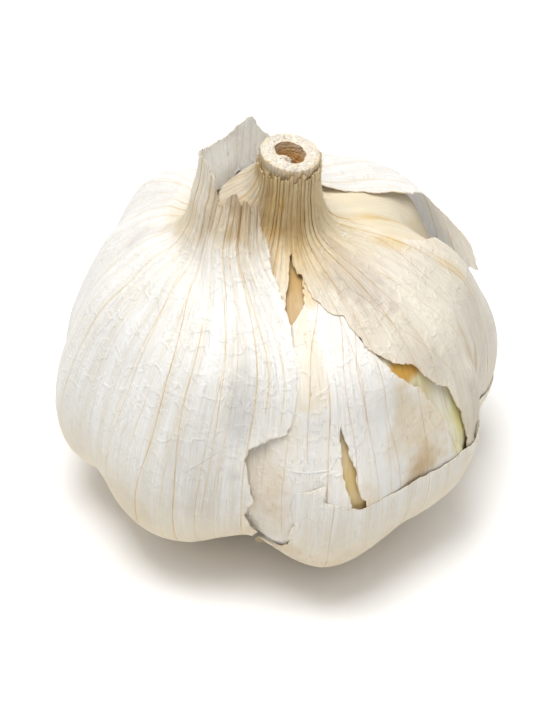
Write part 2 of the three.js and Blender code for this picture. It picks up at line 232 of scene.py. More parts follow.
# The outer skin wraps the left and the back, and leaves a band round the front and the right.
OUTER_EDGE = (
    # the spike at the front, and up to the corner of the band
    (-3.5, -0.1), (-3, 0.15), (-4, 0.235), (-5.5, 0.262), (-1.5, 0.268), (2.5, 0.3), (3.2, 0.36), (2.2, 0.4),
    (3, 0.423), (7.5, 0.43), (10.6, 0.437), (10.2, 0.412),
    # the band's upper edge, to the right
    (13, 0.405), (16, 0.396), (20.5, 0.389), (26.5, 0.388), (33.5, 0.379), (42.5, 0.379), (54.5, 0.381),
    (60, 0.368), (68, 0.372), (76, 0.35), (84, 0.324), (96, 0.308), (110, 0.31), (122, 0.33), (131, 0.37), (127, 0.41),
    # the flap at the back right, and up to the rim behind the stalk
    (119, 0.442), (111.5, 0.456), (111, 0.48), (109.5, 0.53), (113, 0.549), (119, 0.558), (127, 0.572), (127.5, 0.6),
    (122.5, 0.662), (122, 0.696), (123.5, 0.748), (127, 0.8), (138, 0.845), (150, 0.87), (157, 0.925),
    (162, 0.95), (169, 0.956), (175.5, 0.97), (180.5, 0.993),
    # the collar's cut rim, round the left
    (188, 0.978), (202, 0.958), (214, 0.948), (227.5, 0.946), (247, 0.954), (262, 0.972), (288, 0.992), (300, 0.996),
    # the ragged rim in front, and the long torn edge back down to the root plate
    (306.5, 0.986), (309, 0.976), (314.5, 0.972), (316, 0.954), (321, 0.946), (322.5, 0.93), (328, 0.926),
    (332.5, 0.914), (334.5, 0.928), (335.5, 0.944), (337.5, 0.948), (340, 0.944), (342, 0.953), (346.5, 0.95),
    (348.5, 0.938), (350.5, 0.932), (353.5, 0.946), (356, 0.946), (358.5, 0.926), (360, 0.912), (362.5, 0.916),
    (364.5, 0.94), (367.5, 0.943), (369, 0.92), (371.5, 0.89), (373, 0.868), (375, 0.84), (374.5, 0.82), (369.5, 0.754),
    (366, 0.69), (364.5, 0.64), (363, 0.602), (363.2, 0.572), (362.2, 0.54), (360.5, 0.512), (355.5, 0.496),
    (350.5, 0.48), (349.6, 0.462), (351.5, 0.428), (352.8, 0.39), (351.2, 0.356), (352.5, 0.316),
    (354.5, 0.3), (353, 0.25), (352, -0.1),
)
# The middle skin hugs the stalk, and goes on as a flap over the cloves on the right. It is whole
# round the back, so its outline overlaps itself there.
MIDDLE_EDGE = (
    (-270, 0.979), (-270, 0.88), (-200, 0.79), (-180, 0.76), (-150, 0.7), (-90, 0.66), (-30, 0.64),
    (-6, 0.66), (-2, 0.69), (-0.8, 0.735), (1.6, 0.79), (4, 0.83),
    # the flap's torn lower edge
    (7.5, 0.808), (11, 0.774), (15, 0.738), (18, 0.712), (21, 0.698), (25, 0.694), (25.2, 0.678),
    (27.5, 0.642), (30, 0.622), (32, 0.606), (36.5, 0.588), (41.5, 0.572), (43.5, 0.55), (48, 0.52),
    (50.5, 0.508), (52.5, 0.476), (54, 0.444), (56, 0.392), (56.5, 0.35), (57, 0.27),
    # its end under the band, and its back edge in front of the bare clove
    (75, 0.25), (98, 0.23), (140, 0.25), (140, 0.4), (128, 0.46), (116, 0.53), (110, 0.59), (106, 0.622), (98, 0.648),
    (92.5, 0.67), (88.5, 0.698), (86.4, 0.732), (88, 0.762), (92.4, 0.79), (96, 0.812), (97, 0.838), (112, 0.862),
    (130, 0.87), (155, 0.86), (160, 0.8), (180, 0.76),
    (200, 0.79), (270, 0.88), (270, 0.979),
)
# The sheath under it shows only round the top of the stalk.
SHEATH_EDGE = ((-270, 0.84), (270, 0.84), (270, 0.991), (-270, 0.991))
# The inner skin covers the two front cloves and is split above the band.
INNER_EDGE = (
    (-44, 0.04), (-44, 0.4), (-36, 0.56), (-18, 0.63), (1, 0.688), (3.5, 0.702), (8.5, 0.724), (10, 0.746),
    (10.5, 0.768), (11.8, 0.8), (14, 0.83), (20, 0.82), (26, 0.74), (26, 0.688), (28.5, 0.636), (33, 0.592),
    (36, 0.562), (42.5, 0.53), (44.5, 0.506), (47, 0.482), (48.5, 0.452), (51.5, 0.406), (57, 0.326),
    (64, 0.2), (66, 0.04),
    # the split
    (23.5, 0.04), (22.6, 0.34), (21.5, 0.368), (19, 0.426), (17.5, 0.472), (15.6, 0.514), (14.6, 0.522),
    (14.4, 0.5), (15.2, 0.446), (17.2, 0.38), (17.6, 0.34), (18, 0.04),
)

# The tight skins of three cloves, where they show bare.
FRONT_CLOVE_EDGE = ((-16, 0.6), (14, 0.6), (16, 0.72), (15, 0.85), (-14, 0.85))
GAP_CLOVE_EDGE = (
    (29, 0.585), (38, 0.512), (41, 0.47), (44, 0.43), (47, 0.385), (50, 0.3), (66, 0.3), (66, 0.5), (62, 0.58),
    (54, 0.62), (40, 0.66), (31, 0.65),
)
BARE_CLOVE_EDGE = (
    (84, 0.5), (112, 0.46), (150, 0.46), (160, 0.52), (163, 0.7), (161, 0.862), (100, 0.87), (84, 0.83), (78, 0.7),
)

RIM_SHARE = 0.15  # no cut comes nearer a corner of the grid than this share of a side


class Sheet(NamedTuple):
    """Triangles of a torn sheet. A closed sheet's last column has the same places as its first."""

    azimuth: np.ndarray
    station: np.ndarray
    torn: np.ndarray  # distance from the torn edge
    triangles: np.ndarray
    same: np.ndarray  # for each point, the point that it is welded to


def torn_distance(outline, azimuth, station):
    """Millimetres inside (positive) or outside (negative) an outline, round and along the bulb."""
    corner = np.array(outline, float)
    follower = np.roll(corner, -1, axis=0)
    step = through(BODY + NECK, station)
    around = np.radians(np.maximum(step[0][:, 0], 4))[:, None]
    along = np.linalg.norm(step[1], axis=-1)[:, None] * (len(BODY + NECK) - 1)
    a1, s1, a2, s2 = corner[:, 0], corner[:, 1], follower[:, 0], follower[:, 1]
    a, s = azimuth[:, None], station[:, None]
    crossed = ((s1 > s) != (s2 > s)) & (a < a1 + (s - s1) * (a2 - a1) / np.where(s1 == s2, 1, s2 - s1))
    side = np.array([(a2 - a1) * around, (s2 - s1) * along])
    gone = np.array([(a - a1) * around, (s - s1) * along])
    share = np.clip((gone * side).sum(0) / np.maximum((side * side).sum(0), 1e-9), 0, 1)
    distance = np.sqrt(((gone - share * side) ** 2).sum(0)).min(1)
    return np.where(crossed.sum(1) % 2 == 1, distance, -distance)


def raggedness(azimuth, station, steps, seed):
    """How far a torn edge wanders, in millimetres: long waves, short ones, and steps at the neck."""
    wave = 0.22 * bulb_noise(azimuth, station, 90, 46, seed) + 0.2 * bulb_noise(azimuth, station, 300, 150, seed + 1)
    step = rib_values(rib_place(azimuth, station), -1, 1, seed + 2)
    at_neck = smooth(station, 0.86, 0.9)
    return wave * (1 - 0.5 * at_neck) + steps * step * at_neck


def torn_sheet(outline, columns, rows, repeats=(0,), closed=False, steps=0.0, seed=11):
    """The part of a grid inside an outline, cut along it. The outline counts at each repeat too."""
    azimuth, station = (g.ravel() for g in np.meshgrid(columns, rows, indexing="ij"))
    torn = np.full(azimuth.shape, -1e9)
    for turn in repeats:
        torn = np.maximum(torn, torn_distance(outline, azimuth + 360 * turn, station))
    torn = torn + raggedness(azimuth, station, steps, seed)
    ids = np.arange(azimuth.size).reshape(len(columns), len(rows))
    same = ids.copy()
    if closed:
        torn[ids[-1]] = torn[ids[0]]
        same[-1] = same[0]
    places = [azimuth, station, np.maximum(torn, 0)]
    welds = [same.ravel()]
    cuts, count = {}, azimuth.size
    for di, dj in ((1, 0), (0, 1), (1, 1)):
        p = ids[: ids.shape[0] - di, : ids.shape[1] - dj]
        q = ids[di:, dj:]
        crossed = (torn[p] > 0) != (torn[q] > 0)
        share = np.clip(torn[p] / np.where(crossed, torn[p] - torn[q], 1), RIM_SHARE, 1 - RIM_SHARE)[crossed]
        new = np.full(p.shape, -1)
        new[crossed] = count + np.arange(crossed.sum())
        weld = new.copy()
        if closed and di == 0:
            weld[-1] = weld[0]
        for k, values in enumerate((azimuth, station)):
            places[k] = np.append(places[k], values[p][crossed] * (1 - share) + values[q][crossed] * share)
        places[2] = np.append(places[2], np.zeros(crossed.sum()))
        welds.append(weld[crossed])
        cuts[di, dj] = new
        count += crossed.sum()
    a, b, c, d = ids[:-1, :-1], ids[1:, :-1], ids[1:, 1:], ids[:-1, 1:]
    corners = np.stack([np.stack([a, b, c], -1), np.stack([a, c, d], -1)], 2).reshape(-1, 3)
    lower = np.stack([cuts[1, 0][:, :-1], cuts[0, 1][1:, :], cuts[1, 1]], -1)
    upper = np.stack([cuts[1, 1], cuts[1, 0][:, 1:], cuts[0, 1][:-1, :]], -1)
    edges = np.stack([lower, upper], 2).reshape(-1, 3)
    inside = torn[corners] > 0
    kept = [corners[inside.all(1)]]
    for k in range(3):
        m, n = (k + 1) % 3, (k + 2) % 3
        tip = (inside.sum(1) == 1) & inside[:, k]
        kept.append(np.stack([corners[tip, k], edges[tip, k], edges[tip, n]], -1))
        stump = (inside.sum(1) == 2) & ~inside[:, k]
        kept.append(np.stack([corners[stump, m], corners[stump, n], edges[stump, n]], -1))
        kept.append(np.stack([corners[stump, m], edges[stump, n], edges[stump, k]], -1))
    triangles = largest_patch(np.concatenate(kept), np.concatenate(welds))
    return Sheet(*places, triangles, np.concatenate(welds))


def largest_patch(triangles, same):
    """The triangles of the largest connected patch, so that no scrap hangs in the air."""
    parent = list(range(len(same)))

    def root(v):
        while parent[v] != v:
            parent[v] = parent[parent[v]]
            v = parent[v]
        return v

    for a, b, c in same[triangles].tolist():
        a = root(a)
        parent[root(b)] = a
        parent[root(c)] = a
    roots = np.array([root(v) for v in same[triangles[:, 0]].tolist()])
    names, sizes = np.unique(roots, return_counts=True)
    return triangles[roots == names[sizes.argmax()]]


def rim_edges(triangles):
    """The directed edges that only one triangle has."""
    edges = np.concatenate([triangles[:, [0, 1]], triangles[:, [1, 2]], triangles[:, [2, 0]]])
    key = edges.min(1).astype(np.int64) * (edges.max() + 1) + edges.max(1)
    _, first, count = np.unique(key, return_index=True, return_counts=True)
    return edges[first[count == 1]]


# ---------------------------------------------------------------------------------------------
# Meshes
# ---------------------------------------------------------------------------------------------


def mesh_piece(name, points, faces, materials, uv_maps=(), attributes=(), face_materials=None, sharp=40):
    """An object from points in millimetres. A UV map has a value for each corner of each face, and
    an attribute one for each point."""
    mesh = bpy.data.meshes.new(name)
    mesh.from_pydata((np.asarray(points) * MM).tolist(), [], [list(face) for face in faces])
    for uv_name, values in uv_maps:
        mesh.uv_layers.new(name=uv_name).data.foreach_set("uv", np.asarray(values, np.float32).ravel())
    for key, kind, values in attributes:
        field = "color" if kind == "FLOAT_COLOR" else "value"
        mesh.attributes.new(key, kind, "POINT").data.foreach_set(field, np.asarray(values, np.float32).ravel())
    for material in materials:
        mesh.materials.append(material)
    if face_materials is not None:
        mesh.polygons.foreach_set("material_index", np.asarray(face_materials, np.int32))
    mesh.polygons.foreach_set("use_smooth", np.ones(len(mesh.polygons), bool))
    mesh.set_sharp_from_angle(angle=math.radians(sharp))
    mesh.validate()
    piece = bpy.data.objects.new(name, mesh)
    bpy.context.scene.collection.objects.link(piece)
    return piece


def adopt(piece, slot, *nodes):
    """A finished piece rides on the bulb and stands for its nodes."""
    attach(piece, "root")
    if nodes:
        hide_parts(*nodes)
    return piece


def mark_values(azimuth, station, marks):
    """For each point the signed distance in millimetres to the nearest mark, and that mark's colour,
    with its strength as alpha. A mark is a hex code, a strength and (azimuth, station) points."""
    side = np.full(azimuth.shape, 9.0)
    best = np.full(azimuth.shape, 9.0)
    colour = np.zeros((azimuth.size, 4))
    reach = np.maximum(through(BODY + NECK, station)[0][:, 0], 4)
    around = np.radians(reach)
    along = np.linalg.norm(through(BODY + NECK, station)[1], axis=-1) * (len(BODY + NECK) - 1)
    for code, strength, points in marks:
        line = through(points, np.linspace(0, 1, 6 * len(points)))[0]
        for k, ((a1, s1), (a2, s2)) in enumerate(zip(line[:-1], line[1:])):
            ahead = np.array([(a2 - a1) * around, (s2 - s1) * along])
            gone = np.array([(np.mod(azimuth - a1 + 180, 360) - 180) * around, (station - s1) * along])
            long = np.hypot(*ahead)
            share = (gone * ahead).sum(0) / long**2
            off = gone - np.clip(share, 0, 1) * ahead
            distance = np.hypot(*off)
            nearer = distance < best
            best = np.where(nearer, distance, best)
            cross = (ahead[0] * gone[1] - ahead[1] * gone[0]) / long
            side = np.where(nearer, cross, side)
            ends = (k == 0) * smooth(-share * long, 0, 1.2) + (k == len(line) - 2) * smooth((share - 1) * long, 0, 1.2)
            shown = strength * (1 - np.minimum(ends, 1)) * (1 - smooth(distance, 0.9, 1.3))
            tone = np.concatenate([np.tile(tint(code), (azimuth.size, 1)), shown[:, None]], -1)
            colour = np.where(nearer[:, None], tone, colour)
    return side, colour


def neck_share(azimuth, station):
    """How much of the neck's brown a skin has: it is paler inside the collar, at the left."""
    return 1 - 0.85 * bump(azimuth, -178, -145, -50, -22) * (1 - smooth(station, 0.93, 0.98))


def skin_piece(name, layer, sheet, rise, thickness, stains_and_shade, marks, materials):
    """A torn sheet as a thin closed skin. `rise` moves points out, the stain function colours them with
    stains and, on some skins, painted shade, and `marks` are veins that are drawn on it."""
    used = np.unique(sheet.same[sheet.triangles])
    place = np.full(sheet.same.size, -1)
    place[used] = np.arange(used.size)
    azimuth, station, torn = sheet.azimuth[used], sheet.station[used], sheet.torn[used]
    out = rise(azimuth, station, torn)
    outside, reach = point_on(layer, azimuth, station, out)
    inside, _ = point_on(layer, azimuth, station, out - thickness)
    count = used.size
    outer = place[sheet.same[sheet.triangles]]
    inner = outer[:, ::-1] + count
    u, v = rim_edges(outer).T
    wall = np.stack([v, u, u + count, v + count], -1)
    place_in_ribs = rib_place(sheet.azimuth, sheet.station)
    whole = np.stack([sheet.azimuth / 360, sheet.station], -1)
    ribs = np.stack([place_in_ribs, sheet.station], -1)
    rim = {"UVMap": np.stack([azimuth / 360, station], -1), "ribs": np.stack([rib_place(azimuth, station), station], -1)}
    uv_maps = []
    for uv_name, values in (("UVMap", whole), ("ribs", ribs)):
        corners = values[sheet.triangles]
        around = rim[uv_name][np.stack([v, u, u, v], -1)]
        uv_maps.append((uv_name, np.concatenate([c.reshape(-1, 2) for c in (corners, corners[:, ::-1], around)])))
    # stain colours, some of them painted shade, with the neck's share as alpha
    colour = np.concatenate([stains_and_shade(azimuth, station), neck_share(azimuth, station)[:, None]], -1)
    across, mark = mark_values(azimuth, station, marks)
    attributes = [
        ("across", "FLOAT", np.tile(across, 2)),
        ("mark", "FLOAT_COLOR", np.tile(mark, (2, 1))),
        ("torn", "FLOAT", np.tile(torn, 2)),
        ("reach", "FLOAT", np.tile(reach, 2)),
        ("stain", "FLOAT_COLOR", np.tile(colour, (2, 1))),
    ]
    faces = outer.tolist() + inner.tolist() + wall.tolist()
    sides = np.repeat([0, 1, 0], [len(outer), len(inner), len(wall)])
    return mesh_piece(name, np.concatenate([outside, inside]), faces, materials, uv_maps, attributes, sides)


def grid_faces(around, along, first=0, flip=False):
    """Quads of rings of `around` points, one ring above the next."""
    k, j = np.meshgrid(np.arange(around), np.arange(along - 1), indexing="ij")
    low, next_low = first + j * around + k, first + j * around + (k + 1) % around
    faces = np.stack([low, next_low, next_low + around, low + around], -1).reshape(-1, 4)
    return faces[:, ::-1] if flip else faces


# ---------------------------------------------------------------------------------------------
# Materials
# ---------------------------------------------------------------------------------------------


class Wire:
    """A node's output; arithmetic on it adds Math nodes."""

    def __init__(self, paint, socket):
        self.paint, self.socket = paint, socket

    def _math(self, operation, first, second=0.0, third=0.0):
        values = {0: first, 1: second, 2: third}
        return self.paint.node("ShaderNodeMath", {"operation": operation}, values)

    def __add__(self, other):
        return self._math("ADD", self, other)

    def __radd__(self, other):
        return self._math("ADD", other, self)

    def __sub__(self, other):
        return self._math("SUBTRACT", self, other)

    def __rsub__(self, other):
        return self._math("SUBTRACT", other, self)

    def __mul__(self, other):
        return self._math("MULTIPLY", self, other)

    def __rmul__(self, other):
        return self._math("MULTIPLY", other, self)

    def __truediv__(self, other):
        return self._math("DIVIDE", self, other)

    def __pow__(self, other):
        return self._math("POWER", self, other)

    def apply(self, operation, other=0.0):
        return self._math(operation, self, other)

    def step(self, start, end):
        """0 at start, 1 at end, and smooth between; start may be above end."""
        values = {"Value": self, "From Min": start, "From Max": end}
        return self.paint.node("ShaderNodeMapRange", {"interpolation_type": "SMOOTHSTEP"}, values)


class Paint:
    """A material's node tree."""

    def __init__(self, name):
        self.material = bpy.data.materials.new(name)
        self.material.use_nodes = True
        self.tree = self.material.node_tree
        self.tree.nodes.clear()

    def node(self, kind, settings=None, inputs=None, output=0):
        made = self.tree.nodes.new(kind)
        for key, value in (settings or {}).items():
            if key == "stops":
                self._ramp(made.color_ramp, value)
            else:
                setattr(made, key, value)
        for key, value in (inputs or {}).items():
            if isinstance(value, Wire):
                self.tree.links.new(value.socket, made.inputs[key])
            else:
                made.inputs[key].default_value = value
        return Wire(self, made.outputs[output]) if len(made.outputs) else None

    @staticmethod
    def _ramp(ramp, stops):
        while len(ramp.elements) < len(stops):
            ramp.elements.new(0.5)
        for element, (position, colour) in zip(ramp.elements, stops):
            element.position = position
            element.color = (*colour, 1)

    def mix(self, factor, first, second, blend="MIX"):
        """A colour between two, which may be tuples or wires."""
        colours = [c if isinstance(c, Wire) else (*c, 1) for c in (first, second)]
        settings = {"data_type": "RGBA", "blend_type": blend}
        return self.node("ShaderNodeMix", settings, {0: factor, 6: colours[0], 7: colours[1]}, output=2)

    def attribute(self, name, output="Fac"):
        return self.node("ShaderNodeAttribute", {"attribute_name": name}, output=output)

    def uv(self, name):
        """Both coordinates of a UV map."""
        place = self.node("ShaderNodeUVMap", {"uv_map": name})
        return [self.node("ShaderNodeSeparateXYZ", None, {0: place}, output=k) for k in (0, 1)]

    def place(self, x, y, z=0.0):
        return self.node("ShaderNodeCombineXYZ", None, {0: x, 1: y, 2: z})

    def object_place(self):
        return self.node("ShaderNodeTexCoord", None, None, output="Object")

    def noise(self, vector, scale, detail=2.0, roughness=0.5, output="Fac"):
        values = {"Vector": vector, "Scale": scale, "Detail": detail, "Roughness": roughness}
        return self.node("ShaderNodeTexNoise", None, values, output=output)

    def finish(self, base, roughness, height=None, reach=0.0002, **constants):
        """The surface, with an optional height field that becomes relief of `reach` metres."""
        values = {"Base Color": base, "Roughness": roughness, **constants}
        if height is not None:
            values["Normal"] = self.node("ShaderNodeBump", None, {"Distance": reach, "Height": height})
        shader = self.node("ShaderNodeBsdfPrincipled", None, values)
        self.node("ShaderNodeOutputMaterial", None, {"Surface": shader})
        return self.material


def rib_lines(paint, rib, reach, count, width, seed):
    """Lines along the whole numbers of rib, of which there are `count` round the bulb: their mask,
    by a width in millimetres, a random strength and number for each, and how far off it is."""
    nearest = (rib + 0.5).apply("FLOOR")
    apart = (rib - nearest).apply("ABSOLUTE")
    index = nearest.apply("FLOORED_MODULO", count)
    strength = paint.node("ShaderNodeTexWhiteNoise", {"noise_dimensions": "1D"}, {"W": index + seed})
    return (apart * reach * (2 * math.pi / count)).step(width, 0.0), strength, index, apart


def papery(
    name, paper, shade, vein, groove, neck, vein_width=0.2, vein_share=0.7, neck_from=0.7, rough=0.5, through=0.35,
    grooved=1.0, low=0.0,
):
    """Dry papery leaf: fibres and veins that run from neck to root, browner and grooved at the neck."""
    paint = Paint(name)
    turn, station = paint.uv("UVMap")
    rib, _ = paint.uv("ribs")
    azimuth = turn * 360
    reach = paint.attribute("reach")
    torn = paint.attribute("torn")
    solid = paint.object_place()

    # the alpha of the stain colour, which holds stains and painted shade, is the share of the neck's brown that is left
    near_neck = station.step(neck_from, neck_from + 0.2) * paint.attribute("stain", "Alpha")
    line, strength, index, apart = rib_lines(paint, rib, reach, RIB_COUNT, vein_width, 5.3)
    broken = paint.noise(paint.place(index * 3.7, station * 16), 1.0, 3).step(0.3, 0.62)
    veins = line * (strength.step(0.1, 0.75) * 0.85 + 0.1) * (broken * 0.6 + 0.4) * vein_share
    thin, thin_strength, thin_index, thin_apart = rib_lines(
        paint, rib * 3 + 0.37, reach, 3 * RIB_COUNT, vein_width * 0.55, 9.1
    )
    thin_broken = paint.noise(paint.place(thin_index * 2.3, station * 24), 1.0, 3).step(0.42, 0.66)
    thin_veins = thin * thin_strength * thin_broken * vein_share * 0.6

    streak = paint.noise(paint.place(azimuth * 0.3, station * 2.6, 2.0), 1.0, 3, 0.5)
    fibre = paint.noise(paint.place(azimuth * 1.3, station * 9), 1.0, 4, 0.62)
    thread = paint.noise(paint.place(azimuth * 2.6, station * 13, 4.0), 1.0, 3, 0.65)
    cloud = paint.noise(solid, 70, 3, 0.55)
    speck = paint.noise(paint.place(azimuth * 2.6, station * 60, 9.0), 1.0, 2, 0.5)
    bend = paint.noise(solid, 55, 0)
    dashes = speck.step(0.6, 0.7) * paint.noise(solid, 120, 1).step(0.5, 0.7)
    ticks = paint.noise(paint.place(index * 9.1, station * 75), 1.0, 1).step(0.64, 0.74) * line * station.step(0.42, 0.62)
    cell = paint.node(
        "ShaderNodeTexVoronoi",
        {"feature": "DISTANCE_TO_EDGE"},
        {"Vector": paint.place(azimuth * 0.07 + bend * 1.6, station * 6.5 + bend * 0.9), "Scale": 1.0},
    )
    scratch = cell.step(0.013, 0.0) * paint.noise(solid, 130, 1).step(0.54, 0.64)

    tone = (streak - 0.5) * 1.5 + (fibre - 0.5) * 1.1 + (thread - 0.5) * 1.3 + (cloud - 0.5) * 0.7 + 0.4
    # darker and warmer lower down: partly the thicker leaf's own warmth, partly painted shade of the lower, down-facing
    # part
    tone = tone + station.step(0.55, 0.2) * 0.45
    colour = paint.mix(tone.step(0.0, 1.0), paper, shade)
    # low down, `low` mixes in a warm tan: painted shade of the underside, with the leaf's own warmth there
    colour = paint.mix(station.step(0.42, 0.26) * low, colour, tint("eddab8"))
    colour = paint.mix(thin_veins, colour, vein)
    colour = paint.mix(veins, colour, vein)
    colour = paint.mix(near_neck * (fibre * 0.5 + 0.45), colour, neck)
    valley = apart.step(0.15, 0.02) * near_neck * (strength * 0.8 + 0.1) * grooved
    fine_valley = thin_apart.step(0.3, 0.03) * near_neck * thin_strength.step(0.25, 1.0) * (0.6 * grooved)
    colour = paint.mix(fine_valley, colour, vein)
    colour = paint.mix(valley, colour, groove)
    colour = paint.mix(dashes * 0.42, colour, groove)
    colour = paint.mix(ticks * 0.45, colour, groove)
    colour = paint.mix(scratch * 0.45, colour, tint("fdfcfa"))
    mark = paint.attribute("across").apply("ABSOLUTE").step(0.14, 0.01) * paint.attribute("mark", "Alpha")
    colour = paint.mix(mark * (broken * 0.4 + 0.45), colour, paint.attribute("mark", "Color"))
    rim = torn.step(0.25, 0.0) * (thread.step(0.35, 0.7) * 0.35 + 0.02)
    colour = paint.mix(rim, colour, groove)
    # multiplied by the stain colour: stains, and on the inner skin also painted shade and a painted shadow
    colour = paint.mix(1.0, colour, paint.attribute("stain", "Color"), blend="MULTIPLY")

    crinkle = (paint.noise(solid, 260, 3, 0.6) - 0.5).apply("ABSOLUTE").step(0.07, 0.0)
    height = fibre * 0.4 + thread * 0.5 + crinkle * 0.22 + veins * 0.25 + thin_veins * 0.12 + scratch * 0.25 + mark * 0.2
    height = height - valley * 0.6 - fine_valley * 0.6
    sheen = (fibre - 0.5) * 0.3 + (cloud - 0.5) * 0.25 + veins * 0.1 + rough
    return paint.finish(colour, sheen, height, 0.0003, **soft_light(through, (0.0014, 0.0013, 0.0012)))


def soft_light(share, radius):
    """How much light goes through the surface, and how far in metres."""
    return {"Subsurface Weight": share, "Subsurface Radius": radius, "Subsurface Scale": 1.0}


def clove_skin(name, skin, shade, line, blush, count=70):
    """The smooth tight skin of a clove, with fine lines from its root to its tip, so many round."""
    paint = Paint(name)
    around, along = paint.uv("UVMap")
    solid = paint.object_place()
    cloud = paint.noise(solid, 110, 3, 0.55)
    fibre = paint.noise(paint.place(around * count, along * 5), 1.0, 3, 0.6)
    thread = paint.noise(paint.place(around * count * 3, along * 9, 2.0), 1.0, 2, 0.5)
    colour = paint.mix(((fibre - 0.5) * 1.2 + cloud).step(0.2, 0.9), skin, shade)
    colour = paint.mix(thread.step(0.56, 0.72) * 0.4, colour, line)
    colour = paint.mix(paint.noise(solid, 45, 2).step(0.45, 0.7) * 0.6, colour, blush)
    colour = paint.mix(along.step(0.86, 1.0) * 0.4, colour, line)
    # multiplied by the stain colour: the clove's own colours, and painted shade in the hole, the gap and along the fold
    colour = paint.mix(1.0, colour, paint.attribute("stain", "Color"), blend="MULTIPLY")
    height = fibre * 0.6 + thread * 0.3 + cloud * 0.4
    return paint.finish(colour, fibre * 0.16 + 0.3, height, 0.0001, **soft_light(0.3, (0.002, 0.0013, 0.0007)))


def fibrous(name, pale, tan, brown):
    """The side of the stalk: long fibres, brown between them."""
    paint = Paint(name)
    around, along = paint.uv("UVMap")
    solid = paint.object_place()
    fibre = paint.noise(paint.place(around * 90, along * 6), 1.0, 4, 0.6)
    thread = paint.noise(paint.place(around * 260, along * 14, 3.0), 1.0, 3, 0.6)
    cloud = paint.noise(solid, 300, 3)
    colour = paint.mix(fibre.step(0.3, 0.7), tan, pale)
    colour = paint.mix(thread.step(0.5, 0.72) * 0.75, colour, brown)
    colour = paint.mix(cloud.step(0.5, 0.75) * 0.35, colour, pale)
    return paint.finish(colour, thread * 0.2 + 0.6, fibre + thread * 0.6, 0.0002)


def cut_end(name, pale, tan, brown):
    """The cut end: bundles of fibre in a soft ground, brown at its skin and down in the hollow."""
    paint = Paint(name)
    solid = paint.object_place()
    bundle = paint.node("ShaderNodeTexVoronoi", {"feature": "F1"}, {"Vector": solid, "Scale": 2600.0}, "Distance")
    cloud = paint.noise(solid, 900, 4, 0.65)
    coarse = paint.noise(solid, 350, 3, 0.6)
    colour = paint.mix(coarse.step(0.45, 0.8) * 0.7, pale, tan)
    colour = paint.mix(bundle.step(0.32, 0.08) * 0.4, colour, tan)
    colour = paint.mix(cloud.step(0.55, 0.72) * 0.6, colour, tint("f7f2e6"))
    colour = paint.mix(paint.attribute("edge") * cloud.step(0.4, 0.6) * 0.9, colour, tan)
    colour = paint.mix(paint.attribute("deep") * 0.9, colour, brown)
    height = bundle * 0.5 + cloud
    return paint.finish(colour, coarse * 0.15 + 0.72, height, 0.0003, **soft_light(0.1, (0.001, 0.0008, 0.0005)))


def cottony(name, white, tan):
    """Loose white pith."""
    paint = Paint(name)
    solid = paint.object_place()
    cloud = paint.noise(solid, 1600, 4, 0.7)
    colour = paint.mix(cloud.step(0.4, 0.75), white, tan)
    return paint.finish(colour, 0.9, cloud, 0.0004, **soft_light(0.2, (0.001, 0.0008, 0.0006)))


def dry_root(name, pale, tan, soil_brown):
    """Root plate and trimmed roots: dusty tan, browner in the gaps, with traces of soil."""
    paint = Paint(name)
    solid = paint.object_place()
    fine = paint.noise(solid, 1800, 4, 0.6)
    coarse = paint.noise(solid, 420, 3, 0.6)
    soil = paint.noise(solid, 800, 2, 0.7).step(0.58, 0.74)
    colour = paint.mix(coarse.step(0.3, 0.7), tan, pale)
    colour = paint.mix(fine.step(0.5, 0.75) * 0.5, colour, soil_brown)
    colour = paint.mix(soil * 0.5, colour, soil_brown)
    return paint.finish(colour, fine * 0.2 + 0.7, fine + coarse, 0.0003)


def plain_floor(name, white):
    """Matt white paper."""
    paint = Paint(name)
    grain = paint.noise(paint.object_place(), 900, 2)
    colour = paint.mix(grain * 0.02, white, tint("e8e8e8"))
    glow = {"Emission Color": (1, 1, 1, 1), "Emission Strength": 0.01}
    return paint.finish(colour, 0.9, grain, 0.00001, **glow)


def make_finish(name, colours):
    """One of the bulb's materials, made once, from the colours that a user may change."""
    if name in bpy.data.materials:
        return bpy.data.materials[name]
    skin = (colours.paper, colours.paper_shade, colours.vein, colours.groove, colours.neck)
    middle = (colours.middle_paper, colours.middle_shade, colours.middle_vein, colours.middle_vein, colours.middle_neck)
    makers = {
        "outer skin": lambda: papery(name, *skin, vein_width=0.14, vein_share=0.72, neck_from=0.72, low=0.8),
        "outer skin inside": lambda: papery(
            name, colours.lining, colours.lining_shade, colours.middle_vein, colours.groove, colours.lining,
            vein_width=0.24, vein_share=1.0, through=1.0, grooved=0.12,
        ),
        "middle skin": lambda: papery(name, *middle, vein_width=0.14, vein_share=0.85, low=0.5),
        "middle skin inside": lambda: papery(
            name, colours.lining_shade, colours.middle_neck, colours.middle_vein, colours.groove,
            colours.middle_neck, vein_share=0.8, through=1.0,
        ),
        "inner skin": lambda: papery(
            name, colours.inner_paper, colours.inner_shade, colours.inner_vein, colours.groove,
            colours.middle_neck, vein_share=0.5, neck_from=0.72, rough=0.45,
        ),
        "clove skin": lambda: clove_skin(name, colours.clove, colours.clove_shade, colours.stalk_line, colours.clove_blush),
        "bare clove skin": lambda: clove_skin(
            name, colours.clove, colours.clove_shade, colours.stalk_line, colours.clove_blush, 300
        ),
        "gap clove skin": lambda: clove_skin(
            name, colours.gap_clove, colours.clove_shade, colours.stalk_line, colours.gap_clove, 150
        ),
        "stalk side": lambda: fibrous(name, colours.cut, colours.stalk, colours.stalk_line),
        "cut stalk": lambda: cut_end(name, colours.cut, colours.stalk, colours.hollow),
        "pith": lambda: cottony(name, colours.cut, colours.stalk),
        "dry roots": lambda: dry_root(name, colours.cut, colours.root, colours.soil),
    }
    return makers[name]()


# ---------------------------------------------------------------------------------------------
# Relief and stains of the skins
# ---------------------------------------------------------------------------------------------


